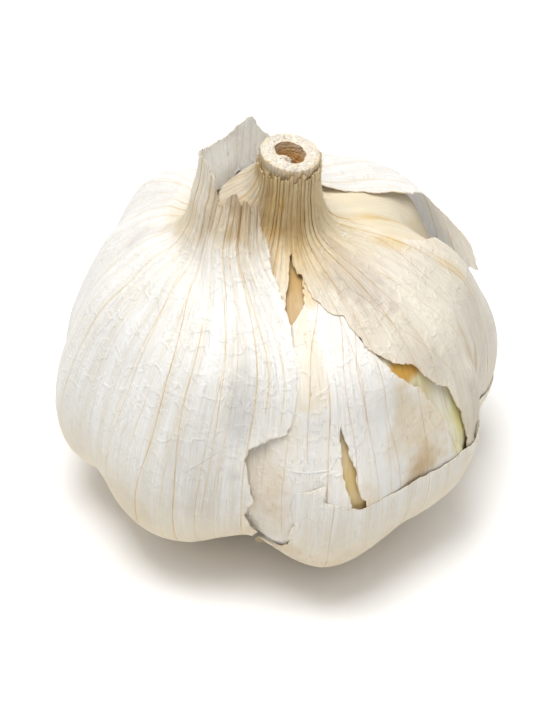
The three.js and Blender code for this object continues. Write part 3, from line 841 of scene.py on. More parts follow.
def rib_relief(azimuth, station, height, start, full):
    """Rounded ribs with sharp grooves between them, which rise towards the neck, and finer ones on
    each."""
    place = rib_place(azimuth, station)
    tall = rib_values(place, 0.25, 1, 17)
    ribs = np.abs(np.sin(np.pi * place)) * tall - 0.4
    fine = np.abs(np.sin(3 * np.pi * place)) - 0.6
    return (height * ribs + 0.45 * height * fine) * smooth(station, start, full)


def leaf_edge(azimuth, station, at, drift, height):
    """A step where one leaf lies over another, from the neck down."""
    turn = np.mod(azimuth - at - drift * (1 - station) + 180, 360) - 180
    return height * (1 - smooth(turn, -1, 1)) * smooth(turn, -40, -4) * smooth(station, 0.7, 0.82)


# Where the outer skin stands a little further out or in: azimuth, station, half width in degrees,
# half length in stations, millimetres.
PLUMPS = (
    (-148, 0.7, 13, 0.1, -0.5), (-130, 0.62, 11, 0.1, 0.75), (-97, 0.5, 10, 0.1, -0.2), (-80, 0.42, 12, 0.1, 0.2),
    (-62, 0.28, 12, 0.09, 0.35), (-42, 0.24, 12, 0.09, 0.38), (-22, 0.22, 12, 0.09, 0.2), (-4, 0.2, 10, 0.08, 0.45),
    (18, 0.18, 12, 0.08, 0.5), (38, 0.22, 11, 0.08, 0.5), (60, 0.26, 12, 0.09, -0.25), (80, 0.32, 12, 0.09, -0.4),
    (148, 0.72, 13, 0.1, 0.85), (168, 0.74, 13, 0.1, 0.8),
)


def plump(azimuth, station):
    total = 0
    for at, along, wide, long, height in PLUMPS:
        total = total + height * hill(azimuth, station, at, along, wide, long)
    return total


def paper_relief(azimuth, station, torn, curl, dents, seed):
    """Slack dents and wrinkles of dry paper, and a curl along its torn edge."""
    body = bump(station, 0.03, 0.12, 0.7, 0.86)
    slack = dents * body * bulb_noise(azimuth, station, 14, 6, seed)
    wrinkle = 0.06 * body * bulb_noise(azimuth, station, 60, 16, 32) + 0.03 * bulb_noise(azimuth, station, 120, 70, 33)
    lift = curl * np.exp(-torn / 1.1) * (0.75 + 0.6 * bulb_noise(azimuth, station, 40, 20, 34))
    return slack + wrinkle + lift


def hill(azimuth, station, at, along, wide, long):
    """1 at a place, and less away from it, by a width in degrees and a length in stations."""
    turn = np.mod(azimuth - at + 180, 360) - 180
    return np.exp(-((turn / wide) ** 2) - ((station - along) / long) ** 2)


def clove_relief(azimuth, station):
    """How far the cloves stand out: at the back right they fall away from the skin over them."""
    return (
        -4.6 * hill(azimuth, station, 112, 0.56, 13.5, 0.115)
        - 0.4 * bump(azimuth, 78, 92, 150, 161) * bump(station, 0.42, 0.5, 0.84, 0.88)
        # it shows in the split of the inner skin
        + 0.9 * hill(azimuth, station, 20, 0.385, 8, 0.09)
    )


def tight_relief(azimuth, station, torn):
    """A clove's own skin: smooth, with one soft fold at the back right."""
    fold = azimuth - 109 + 40 * (station - 0.72)
    return (
        0.06 * bulb_noise(azimuth, station, 50, 9, 38)
        - 4.2 * hill(azimuth, station, 112, 0.56, 13, 0.11)
        + 0.4 * bump(azimuth, 100, 116, 148, 158) * bump(station, 0.64, 0.72, 0.8, 0.86)
        - 0.25 * np.exp(-((fold / 3.0) ** 2)) * bump(station, 0.6, 0.66, 0.8, 0.86)
        + 0.5 * hill(azimuth, station, 128, 0.63, 6, 0.05)
    )


def snug_relief(azimuth, station, torn):
    return inner_relief(azimuth, station, 9.0)


def outer_relief(azimuth, station, torn):
    turn = np.mod(azimuth + 180, 360) - 180
    # the band's upper edge lies close
    close = bump(azimuth, 0, 8, 104, 130) * bump(station, 0.24, 0.3, 0.4, 0.46)
    # the foot of the collar stands nearer the stalk at the back left
    foot = bump(turn, -178, -155, -112, -88) * bump(station, 0.74, 0.82, 0.86, 0.95)
    # and at the left it goes up steeply
    steep = bump(turn, -116, -92, -50, -28) * bump(station, 0.7, 0.79, 0.82, 0.91)
    front = bump(turn, -45, -30, 14, 24)
    return (
        paper_relief(azimuth, station, torn, 0.02, 0.12, 31)
        + plump(azimuth, station)
        + rib_relief(azimuth, station, 0.16, 0.62, 0.9)
        + rib_relief(azimuth, station, 0.3, 0.68, 0.92) * front
        - 0.3 * close * np.exp(-torn / 3.0)
        - 2.7 * foot
        - 1.5 * steep
    )


def fullness(azimuth, station):
    return 0.5 * bump(azimuth, 30, 56, 80, 96) * bump(station, 0.4, 0.5, 0.66, 0.8)


def middle_relief(azimuth, station, torn):
    # where the outer skin is missing the middle one bellies out to the outline
    belly = fullness(azimuth, station)
    crumple = bump(azimuth, 54, 60, 74, 84) * bump(station, 0.33, 0.38, 0.48, 0.55)
    folds = 0.5 * crumple * bulb_noise(azimuth, station, 150, 34, 41)
    leaves = leaf_edge(azimuth, station, -2, -8, 0.2) + leaf_edge(azimuth, station, 62, 20, 0.15)
    leaves = leaves + leaf_edge(azimuth, station, -75, -30, 0.15) + leaf_edge(azimuth, station, 150, 30, 0.2)
    # inside the collar it spreads out to the left
    spread = 4.0 * bump(azimuth, -138, -104, -76, -40) * bump(station, 0.74, 0.84, 0.87, 0.965)
    spread = spread + 2.6 * bump(azimuth, -179, -161, -135, -104) * bump(station, 0.79, 0.84, 0.9, 0.975)
    return (
        paper_relief(azimuth, station, torn, 0.02, 0.22, 35)
        + rib_relief(azimuth, station, 0.22, 0.64, 0.9)
        - 4.2 * hill(azimuth, station, 112, 0.56, 13, 0.11)
        + belly
        + folds
        + leaves
        + spread
    )


def sheath_relief(azimuth, station, torn):
    return rib_relief(azimuth, station, 0.2, 0.8, 0.9)


def inner_relief(azimuth, station, torn):
    # it is stretched over the crease between the two front cloves
    bridge = 2.1 * bump(azimuth, -18, -8, -4, 12) * bump(station, 0.02, 0.12, 0.36, 0.5)
    close = 1.1 * bump(azimuth, -24, -12, 3, 12) * bump(station, 0.34, 0.48, 0.62, 0.74)
    # and it lies close under the torn edge of the middle one
    touch = 0.41 * bump(azimuth, 0, 8, 40, 48) * bump(station, 0.5, 0.56, 0.8, 0.86)
    wrinkles = paper_relief(azimuth, station, torn, 0.03, 0.22, 35) + rib_relief(azimuth, station, 0.08, 0.3, 0.8)
    # it lies close under the band
    under = 0.75 * bump(azimuth, 4, 14, 52, 61) * bump(station, 0.16, 0.28, 0.4, 0.5)
    return wrinkles + fullness(azimuth, station) + bridge + close + touch + under


def stains_and_shade(marks):
    """Colours that multiply a skin's own, from marks of azimuth, station, half width and half
    length in millimetres, hex code and strength. Most marks are stains; some paint shade or a shadow."""

    def stained_and_shaded(azimuth, station):
        colour = np.ones((azimuth.size, 3))
        reach = through(BODY + NECK, station)[0][:, 0]
        blur = 0.3 * bulb_noise(azimuth, station, 60, 30, 21) + 0.15 * bulb_noise(azimuth, station, 200, 90, 22)
        for mark_azimuth, mark_station, across, along, code, strength in marks:
            turn = np.mod(azimuth - mark_azimuth + 180, 360) - 180
            gone = np.hypot(np.radians(turn) * reach / across, (station - mark_station) * 80 / along)
            mask = (1 - smooth(gone + blur, 0.35, 1.05)) * strength
            colour *= 1 - mask[:, None] * (1 - np.array(tint(code)))
        return colour

    return stained_and_shaded


OUTER_STAINS = (
    (-52, 0.62, 3, 14, "f6f4f3", 0.5), (-91, 0.68, 1.2, 9, "ebe4e4", 0.6), (-45, 0.85, 1.2, 6, "ebe4e4", 0.5),
    (-13, 0.56, 2.2, 9, "e6e5e7", 0.8), (-22, 0.44, 5, 9, "f0eeec", 0.7), (-6, 0.3, 2, 3, "ede4d6", 0.5),
    (0, 0.28, 3, 3, "e8d8c0", 0.5), (60, 0.3, 7, 6, "f3eadc", 0.7), (-30, 0.9, 3, 8, "e8dcc8", 0.7),
    (-4, 0.9, 2, 9, "d6c6ae", 0.7), (-70, 0.83, 4, 6, "f6eedf", 0.8), (20, 0.26, 8, 5, "f4efe8", 0.7),
    (-100, 0.8, 5, 6, "faf0da", 0.7), (-45, 0.3, 9, 7, "f6f0e4", 0.7),
)
MIDDLE_STAINS = (
    (81, 0.73, 1.6, 4, "f7e4bc", 0.7), (85, 0.62, 1.0, 5, "f3e2c0", 0.6), (76, 0.45, 0.9, 5, "ead8b8", 0.7),
    (65, 0.53, 0.8, 4, "ecdcc0", 0.7), (44, 0.75, 4.5, 8, "d9d4d5", 0.8), (45, 0.6, 3.5, 7, "efedeb", 0.6),
    (30, 0.68, 3, 6, "f0ebe6", 0.6), (20, 0.8, 3, 6, "efe7db", 0.6), (12, 0.87, 2.5, 8, "e9d8b8", 0.7),
    (-40, 0.9, 4, 9, "fff0cc", 0.8), (60, 0.4, 4, 6, "efe9e2", 0.7),
)
# The first three darken the skin over a hollow beneath it (painted shade). The ones at (-6, 0.43) and (-4, 0.34) darken
# it under the outer skin's torn edge (a painted shadow). The rest are stains.
INNER_STAINS_AND_SHADE = (
    (41, 0.46, 7, 9, "ecdcc0", 0.8), (40, 0.42, 3, 4, "e4cfae", 0.7), (37, 0.37, 3.5, 5, "ecdcc2", 0.7), (-6, 0.43, 5, 7, "ead9be", 0.6),
    (-4, 0.34, 5, 7, "efe2cc", 0.5), (0, 0.52, 3, 6, "f8eeda", 0.6), (54, 0.42, 3, 8, "f0ecb8", 0.9),
    (8, 0.62, 2.4, 9, "fbeed6", 0.7), (20, 0.38, 3, 4, "f3e3c6", 0.8), (12, 0.8, 3, 8, "ecd6aa", 0.8),
    (44, 0.53, 1.6, 2.5, "f6e9c8", 0.7),
)
# (39, 0.575) is tan painted shade down in the hole, and (2, 0.74) is tan painted shade of the front clove in the gap
# under the skins. (107, 0.72) is a painted shade line along the bare clove's fold. The rest are the cloves' own
# colours.
CLOVE_STAINS_AND_SHADE = (
    (39, 0.575, 3.6, 3.8, "e6b25e", 1.0), (43, 0.53, 2.2, 3, "faf2cc", 0.8), (55, 0.45, 2.4, 7, "f4f2bc", 1.0),
    (2, 0.74, 4, 12, "c8aa70", 0.95), (20, 0.42, 5, 10, "f2ecc2", 0.9), (107, 0.72, 1.0, 9, "f2deb8", 0.8),
    (112, 0.6, 3, 6, "f3e6cc", 0.6),
)

# Veins that stand out: hex code, strength, and places as (azimuth, station).
OUTER_MARKS = (
    ("e2b14e", 0.95, ((-41, 0.72), (-38.5, 0.64), (-36.2, 0.56), (-35.5, 0.466), (-37.5, 0.372), (-38, 0.25))),
    ("e2b14e", 0.9, ((-30.5, 0.66), (-29.6, 0.58), (-29, 0.512), (-27.6, 0.44), (-27, 0.382), (-27, 0.25))),
    ("e6bb60", 0.7, ((-22, 0.72), (-20, 0.6), (-19, 0.48), (-20, 0.36))),
    ("e6bd66", 0.6, ((-52, 0.74), (-49, 0.62), (-48, 0.5), (-50, 0.38))),
    ("e6bd66", 0.7, ((-8, 0.78), (-7, 0.7), (-5.6, 0.62), (-5.8, 0.55))),
    ("e6bf70", 0.6, ((-3, 0.8), (-1.8, 0.7), (-0.6, 0.6), (-1.2, 0.53))),
    ("c9a070", 0.6, ((12.6, 0.4), (12, 0.34), (12.4, 0.26), (13, 0.2))),
    ("cfa878", 0.5, ((36, 0.376), (35.4, 0.32), (35, 0.25))),
)
MIDDLE_MARKS = (
    ("dba24e", 0.75, ((81, 0.76), (78, 0.73), (74.5, 0.7), (72, 0.66))),
    ("d4a258", 0.7, ((86, 0.68), (85.8, 0.6), (85.4, 0.53))),
    ("c99756", 0.6, ((66, 0.56), (68, 0.51), (72, 0.47), (75.5, 0.44))),
    ("d9b070", 0.6, ((56, 0.72), (58, 0.64), (62, 0.56), (66, 0.48))),
    ("d9b070", 0.5, ((38, 0.72), (42, 0.66), (47, 0.6), (54, 0.52))),
)
INNER_MARKS = (
    ("dba566", 0.8, ((12.4, 0.6), (12.2, 0.54), (11.4, 0.47), (11, 0.42), (11, 0.37))),
    ("deaa88", 0.7, ((23, 0.69), (19.6, 0.64), (17.6, 0.6), (17.4, 0.55), (18.6, 0.49), (18.4, 0.42))),
    ("deaa88", 0.7, ((28, 0.675), (24, 0.63), (22, 0.596), (22.6, 0.54), (23.4, 0.5), (24, 0.448), (24.6, 0.37))),
    ("d8ae6c", 0.7, ((17, 0.74), (12, 0.69), (8, 0.64), (6.4, 0.56), (6, 0.48))),
    ("d8ae6c", 0.6, ((30, 0.6), (30, 0.52), (31.5, 0.44), (32, 0.38))),
    ("b98a5c", 0.6, ((49, 0.43), (50.5, 0.4), (52, 0.37))),
    ("dcb888", 0.6, ((1, 0.5), (0.2, 0.42), (0.8, 0.34))),
)

# ---------------------------------------------------------------------------------------------
# Pieces
# ---------------------------------------------------------------------------------------------

FINE = (-16.0, 64.0)  # azimuths between which the torn edges need a finer grid
ROWS = np.unique(
    np.concatenate(
        [np.arange(0, 0.28, 0.0075), np.arange(0.28, 0.62, 0.005), np.arange(0.62, 0.88, 0.007), np.linspace(0.88, 1, 31)]
    )
)


def columns(start, end, coarse=1.25, fine=0.62):
    """Azimuths from start to end, closer together over FINE."""
    steps = []
    place = start
    while place < end - fine / 2:
        steps.append(place)
        turned = (place + 180) % 360 - 180
        place += fine if FINE[0] <= turned <= FINE[1] else coarse
    return np.array(steps + [end])


CLOVE_FOOT, CLOVE_TIP = 0.045, 0.83  # stations
CLOVE_HEART = (6.2, 41.6)  # heights of a clove's inner edge, beside the stalk
CLOVE_GAP = 0.3


def clove_piece(number, material):
    """A clove: a wedge with rounded corners, its outer side on the layer and its inner edge beside
    the stalk, drawn in at its root and to a tip."""
    sides, rings = 72, 60
    start, end = CLOVE_STARTS[number], CLOVE_ENDS[number]
    share = np.linspace(0, 1, rings + 2)[1:-1][:, None]
    turn = np.linspace(0, 2 * np.pi, sides, endpoint=False)[None, :]
    corner = 0.6
    across = np.sign(np.cos(turn)) * np.abs(np.cos(turn)) ** corner
    outward = -np.sign(np.sin(turn)) * np.abs(np.sin(turn)) ** corner / 2

    def section(share, across, outward):
        """Points across a clove from -1 to 1, and outward from -0.5 at its heart to 0.5."""
        share, across, outward = np.broadcast_arrays(share, across, outward)
        reach = STALK_RADIUS + (22 - STALK_RADIUS) * (0.5 + outward)
        half = (end - start) / 2 - np.degrees(CLOVE_GAP / 2 / reach)
        azimuth = (start + end) / 2 + across * half
        height = CLOVE_HEART[0] + (CLOVE_HEART[1] - CLOVE_HEART[0]) * share
        x, y = axis_at(height, CLOVE.shift, smooth(height, *STALK_MOVES))
        radius = STALK_RADIUS + 0.35
        heart = np.stack([x + radius * np.sin(np.radians(azimuth)), y - radius * np.cos(np.radians(azimuth)), height], -1)
        station = CLOVE_FOOT + (CLOVE_TIP - CLOVE_FOOT) * share
        rough = 0.1 * bulb_noise(azimuth, station, 40, 5, 51 + number)
        skin, _ = point_on(CLOVE, azimuth, station, rough + clove_relief(azimuth, station))
        return heart + (skin - heart) * (0.5 + outward)[..., None]

    ends = np.abs(2 * share - 1)
    slim = np.sqrt(1 - ends ** np.where(share > 0.5, 3.2, 7.0))
    deep = np.sqrt(1 - ends ** np.where(share > 0.5, 9.0, 7.0))
    rows = section(share, across * slim, outward * deep)
    middle = (start + end) / 2
    seen = middle + (across * slim + 0 * share) * (end - start) / 2
    seen = np.append(seen.ravel(), [middle, middle])
    level = CLOVE_FOOT + (CLOVE_TIP - CLOVE_FOOT) * np.append((share + 0 * turn).ravel(), [0, 1])
    # the cloves' colours, with painted shade in the hole, the gap and along the fold
    stained_and_shaded = np.concatenate([stains_and_shade(CLOVE_STAINS_AND_SHADE)(seen, level), np.ones((seen.size, 1))], -1)
    poles = np.stack([section(np.array(k), np.zeros(()), np.zeros(())) for k in (0.0, 1.0)])
    points = np.concatenate([rows.reshape(-1, 3), poles])
    last, k = rings * sides, np.arange(sides)
    follower = (k + 1) % sides
    top = last - sides
    faces = grid_faces(sides, rings).tolist()
    faces += np.stack([follower, k, np.full(sides, last)], -1).tolist()
    faces += np.stack([top + k, top + follower, np.full(sides, last + 1)], -1).tolist()
    u = np.append(np.tile(np.arange(sides) / sides, rings), [0.5, 0.5])
    v = np.append(np.repeat(share[:, 0], sides), [0, 1])
    uv = np.array([(u[i], v[i]) for face in faces for i in face])
    given = [("stain", "FLOAT_COLOR", stained_and_shaded)]
    return mesh_piece(f"clove_{number + 1}_flesh", points, faces, [material], [("UVMap", uv)], given)


def turned_piece(name, rows, around, materials, attributes=(), row_materials=None, sharp=40):
    """A closed piece from rings of points, whose first and last rings shrink to their middles."""
    count = len(rows)
    points = np.concatenate([rows.reshape(-1, 3), [rows[0].mean(0), rows[-1].mean(0)]])
    k = np.arange(around)
    follower = (k + 1) % around
    last = count * around
    sides = grid_faces(around, count).reshape(around, count - 1, 4).transpose(1, 0, 2).reshape(-1, 4)
    faces = sides.tolist()
    faces += np.stack([follower, k, np.full(around, last)], -1).tolist()
    faces += np.stack([last - around + k, last - around + follower, np.full(around, last + 1)], -1).tolist()
    u = np.append(np.tile(k / around, count), [0.5, 0.5])
    v = np.append(np.repeat(np.linspace(0, 1, count), around), [0, 1])
    # the last face round has to end at 1 and not at 0
    uv = np.array([(1.0 if u[i] == 0 and max(u[j] for j in face) > 0.6 else u[i], v[i]) for face in faces for i in face])
    given = [(key, "FLOAT", np.append(np.repeat(values, around), [values[0], values[-1]])) for key, values in attributes]
    kinds = None
    if row_materials is not None:
        kinds = np.concatenate([np.repeat(row_materials, around), [row_materials[0]] * around, [row_materials[-1]] * around])
    return mesh_piece(name, points, faces, materials, [("UVMap", uv)], given, kinds, sharp)


STALK_RIBS = 23
CUT_SLOPE = 0.14  # the cut end falls to the right
HOLLOW_FLOOR = 41.5
PITH_AT = -42  # azimuth


def stalk_piece(colours):
    """The stalk, from the root plate to its slanting cut end with a bean-shaped hollow."""
    around = 276
    turn = np.linspace(0, 2 * np.pi, around, endpoint=False)
    azimuth = np.degrees(turn)
    ribs = 0.1 * np.abs(np.sin(STALK_RIBS * turn)) + 0.06 * noise(azimuth / 360 * 60, np.zeros(around), 60, 61)
    dent = np.radians(np.mod(azimuth - PITH_AT + 180, 360) - 180)
    hollow = 2.1 + 0.16 * np.cos(2 * (turn - 0.5)) - 0.5 * np.exp(-((dent / 0.45) ** 2))
    hollow = hollow + 0.12 * noise(azimuth / 360 * 16, np.zeros(around), 16, 62)
    rim = STALK_RADIUS + ribs - 0.05
    lip = rim + STALK_LIP - STALK_RADIUS
    rows, edge, deep, kinds = [], [], [], []

    def ring(radius, below, height=None, skin=0.0, dark=0.0, kind=1):
        level = STALK_TOP - below if height is None else height
        x, y = axis_at(level, MIDDLE.shift, smooth(level, *STALK_MOVES))
        radius = np.broadcast_to(radius, around)
        slope = 0 if height is not None else CUT_SLOPE
        level = level - slope * radius * np.sin(turn)
        rows.append(np.stack([x + radius * np.sin(turn), y - radius * np.cos(turn), level], -1))
        edge.append(skin)
        deep.append(dark)
        kinds.append(kind)

    for height in np.linspace(2.2, 51.5, 30):
        ring(rim, 0, height, kind=0)
    for below, share in ((2.6, 0.1), (2.2, 0.3), (1.8, 0.6), (1.4, 0.9), (1.0, 1.0)):
        ring(rim + (lip - rim) * share, below, kind=0)
    ring(lip, 0.62, kind=0, skin=1)
    ring(lip - 0.06, 0.52, skin=1)
    face = np.linspace(0, 1, 22)
    for share in face[:-1]:
        reach = (lip - 0.12) * (1 - share) + (hollow + 0.12) * share
        grain = 0.11 * noise(azimuth / 360 * 70, np.full(around, share * 14), 70, 63)
        ring(reach, 0.5 - 0.08 * math.sin(math.pi * share) + grain, skin=max(0, 1 - share * 7) * 0.8)
    for depth in (0.56, 0.75, 1.1, 1.7, 2.6, 4.0, 6.0):
        ring(hollow - 0.05 * depth**0.5, depth, dark=min(1, depth / 2.5))
    for share in (0.9, 0.6, 0.3):
        ring(hollow * share, 0, HOLLOW_FLOOR, dark=1)
    materials = [make_finish("stalk side", colours), make_finish("cut stalk", colours)]
    return turned_piece(
        "stalk_core", np.array(rows), around, materials, [("edge", edge), ("deep", deep)], kinds[1:]
    )


def pith_piece(colours):
    """Loose pith in the hollow of the stalk."""
    around, count = 48, 30
    turn = np.linspace(0, 2 * np.pi, around, endpoint=False)
    share = np.linspace(0.02, 0.98, count)
    top = 53.0
    x, y = axis_at(top, MIDDLE.shift, 1)
    x += 1.3 * math.sin(math.radians(PITH_AT))
    y -= 1.3 * math.cos(math.radians(PITH_AT))
    lumps = np.random.default_rng(65)
    rows = []
    for k, s in enumerate(share):
        radius = 1.0 * math.sin(math.pi * s) ** 0.6 * (1 + 0.3 * noise(turn / (2 * np.pi) * 8, np.full(around, s * 7), 8, 66))
        radius = radius * (1 + 0.22 * lumps.uniform(-1, 1, around))
        rows.append(np.stack([x + radius * np.sin(turn), y - radius * np.cos(turn), top - 1.9 + 2.9 * s + 0 * turn], -1))
    return turned_piece("stalk_pith", np.array(rows), around, [make_finish("pith", colours)], sharp=180)


PLATE_EDGE = 6.9
ROOTS_FROM = 1.15  # height of the plate's underside


def plate_piece(colours):
    """The disc that the cloves and the roots grow from."""
    around = 160
    turn = np.linspace(0, 2 * np.pi, around, endpoint=False)
    profile = (
        (1.0, 4.2), (4.0, 4.2), (6.2, 3.9), (6.8, 3.2), (7.0, 2.4), (6.8, 1.7), (6.2, 1.3), (5.4, 1.1), (4.4, 1.15),
        (3.2, 1.2), (2.0, 1.25), (0.8, 1.3),
    )
    rows = []
    for k, (radius, height) in enumerate(profile):
        uneven = 0.12 * noise(turn / (2 * np.pi) * 40, np.full(around, k * 1.3), 40, 71)
        x, y = axis_at(height, (0, 0), 0)
        reach = radius * (1 + 0.03 * np.sin(3 * turn + 1) + 0.02 * np.sin(7 * turn))
        rows.append(np.stack([x + reach * np.sin(turn), y - reach * np.cos(turn), height + uneven], -1))
    rows = np.array(rows)[::-1]
    return turned_piece("root_plate", rows, around, [make_finish("dry roots", colours)])


# ---------------------------------------------------------------------------------------------
# Geometry Nodes
# ---------------------------------------------------------------------------------------------


class Tree:
    """A Geometry Nodes tree with named inputs."""

    def __init__(self, name, inputs):
        self.group = bpy.data.node_groups.new(name, "GeometryNodeTree")
        self.group.interface.new_socket("Geometry", in_out="OUTPUT", socket_type="NodeSocketGeometry")
        self.group.interface.new_socket("Geometry", in_out="INPUT", socket_type="NodeSocketGeometry")
        self.keys = {}
        for label, (kind, value) in inputs.items():
            socket = self.group.interface.new_socket(label, in_out="INPUT", socket_type=kind)
            if value is not None:
                socket.default_value = value
            self.keys[label] = socket.identifier
        self.source = self.group.nodes.new("NodeGroupInput")

    def given(self, label):
        return self.source.outputs[label]

    def node(self, kind, settings=None, inputs=None, output=0):
        made = self.group.nodes.new(kind)
        for key, value in (settings or {}).items():
            setattr(made, key, value)
        for key, value in (inputs or {}).items():
            if isinstance(value, bpy.types.NodeSocket):
                self.group.links.new(value, made.inputs[key])
            else:
                made.inputs[key].default_value = value
        return made.outputs[output]

    def finish(self, geometry):
        whole = self.node("GeometryNodeRealizeInstances", None, {"Geometry": geometry})
        dressed = self.node("GeometryNodeSetMaterial", None, {"Geometry": whole, "Material": self.given("Material")})
        end = self.group.nodes.new("NodeGroupOutput")
        self.group.links.new(dressed, end.inputs["Geometry"])


def grow(name, seed_mesh, tree, values):
    """A plain mesh from a Geometry Nodes tree on a mesh."""
    carrier = bpy.data.objects.new(f"{name}_seed", seed_mesh)
    bpy.context.scene.collection.objects.link(carrier)
    modifier = carrier.modifiers.new(tree.group.name, "NODES")
    modifier.node_group = tree.group
    for label, value in values.items():
        modifier[tree.keys[label]] = value
    bpy.context.view_layer.update()
    evaluated = carrier.evaluated_get(bpy.context.evaluated_depsgraph_get())
    mesh = bpy.data.meshes.new_from_object(evaluated)
    mesh.name = name
    carrier.modifiers.remove(modifier)
    bpy.data.objects.remove(carrier)
    mesh.polygons.foreach_set("use_smooth", np.ones(len(mesh.polygons), bool))
    piece = bpy.data.objects.new(name, mesh)
    bpy.context.scene.collection.objects.link(piece)
    return piece


def strand_tree(name):
    """Strands on the points of a mesh: each follows the point's `heading` and is as long as its
    `span`, thins to its end, and bends a little, but never goes below the floor."""
    tree = Tree(name, {
        "Thickness": ("NodeSocketFloat", 0.0002),
        "End share": ("NodeSocketFloat", 0.5),
        "Bend": ("NodeSocketFloat", 0.0004),
        "Bend size": ("NodeSocketFloat", 400.0),
        "Material": ("NodeSocketMaterial", None),
    })
    heading = tree.node("GeometryNodeInputNamedAttribute", {"data_type": "FLOAT_VECTOR"}, {"Name": "heading"})
    span = tree.node("GeometryNodeInputNamedAttribute", {"data_type": "FLOAT"}, {"Name": "span"})
    girth = tree.node("GeometryNodeInputNamedAttribute", {"data_type": "FLOAT"}, {"Name": "girth"})
    strand = tree.node(
        "GeometryNodeMeshCone",
        None,
        {"Vertices": 6, "Side Segments": 5, "Fill Segments": 1, "Radius Bottom": 1.0,
         "Radius Top": tree.given("End share"), "Depth": 1.0},
        "Mesh",
    )
    turned = tree.node("FunctionNodeAlignRotationToVector", {"axis": "Z"}, {"Vector": heading})
    wide = tree.node("ShaderNodeMath", {"operation": "MULTIPLY"}, {0: girth, 1: tree.given("Thickness")})
    size = tree.node("ShaderNodeCombineXYZ", None, {0: wide, 1: wide, 2: span})
    standing = tree.node(
        "GeometryNodeInstanceOnPoints", None,
        {"Points": tree.given("Geometry"), "Instance": strand, "Rotation": turned, "Scale": size},
    )
    whole = tree.node("GeometryNodeRealizeInstances", None, {"Geometry": standing})
    place = tree.node("GeometryNodeInputPosition")
    wave = tree.node(
        "ShaderNodeTexNoise", None, {"Vector": place, "Scale": tree.given("Bend size"), "Detail": 1.0}, "Color"
    )
    centred = tree.node("ShaderNodeVectorMath", {"operation": "SUBTRACT"}, {0: wave, 1: (0.5, 0.5, 0.5)})
    shift = tree.node("ShaderNodeVectorMath", {"operation": "SCALE"}, {0: centred, "Scale": tree.given("Bend")})
    bent = tree.node("GeometryNodeSetPosition", None, {"Geometry": whole, "Offset": shift})
    parts = [tree.node("ShaderNodeSeparateXYZ", None, {0: place}, k) for k in range(3)]
    level = tree.node("ShaderNodeMath", {"operation": "MAXIMUM"}, {0: parts[2], 1: 0.0})
    clear = tree.node("ShaderNodeCombineXYZ", None, {0: parts[0], 1: parts[1], 2: level})
    tree.finish(tree.node("GeometryNodeSetPosition", None, {"Geometry": bent, "Position": clear}))
    return tree


def strands(name, starts, headings, spans, girths, thickness, end_share, bend, material):
    """Strands from points in millimetres along headings."""
    starts, headings = np.asarray(starts, float), np.asarray(headings, float)
    headings = headings / np.linalg.norm(headings, axis=1, keepdims=True)
    mesh = bpy.data.meshes.new(f"{name}_points")
    mesh.from_pydata((starts * MM).tolist(), [], [])
    for key, kind, field, values in (
        ("heading", "FLOAT_VECTOR", "vector", headings),
        ("span", "FLOAT", "value", np.asarray(spans) * MM),
        ("girth", "FLOAT", "value", girths),
    ):
        mesh.attributes.new(key, kind, "POINT").data.foreach_set(field, np.asarray(values, np.float32).ravel())
    values = {"Thickness": thickness * MM, "End share": end_share, "Bend": bend * MM, "Material": material}
    return grow(name, mesh, strand_tree(name), values)


def root_strands(sizes, colours):
    """Trimmed roots in rings under the plate."""
    draw = np.random.default_rng(81)
    count = sizes.root_count
    share = np.sqrt((np.arange(count) + 0.5) / count)
    turn = np.arange(count) * 2.39996 + draw.uniform(-0.25, 0.25, count)
    radius = 1.6 + (5.6 - 1.6) * share + draw.uniform(-0.25, 0.25, count)
    x, y = axis_at(ROOTS_FROM, (0, 0), 0)
    starts = np.stack([x + radius * np.sin(turn), y - radius * np.cos(turn), np.full(count, ROOTS_FROM + 0.35)], -1)
    lean = 0.25 + 0.55 * share
    headings = np.stack(
        [lean * np.sin(turn) + draw.normal(0, 0.3, count), -lean * np.cos(turn) + draw.normal(0, 0.3, count), -np.ones(count)], -1
    )
    spans = draw.uniform(0.75, 1.3, count) * sizes.root_length / MM
    girths = draw.uniform(0.6, 1.25, count)
    return strands(
        "roots", starts, headings, spans, girths, sizes.root_width / MM / 2, 0.75, 0.5, make_finish("dry roots", colours)
    )


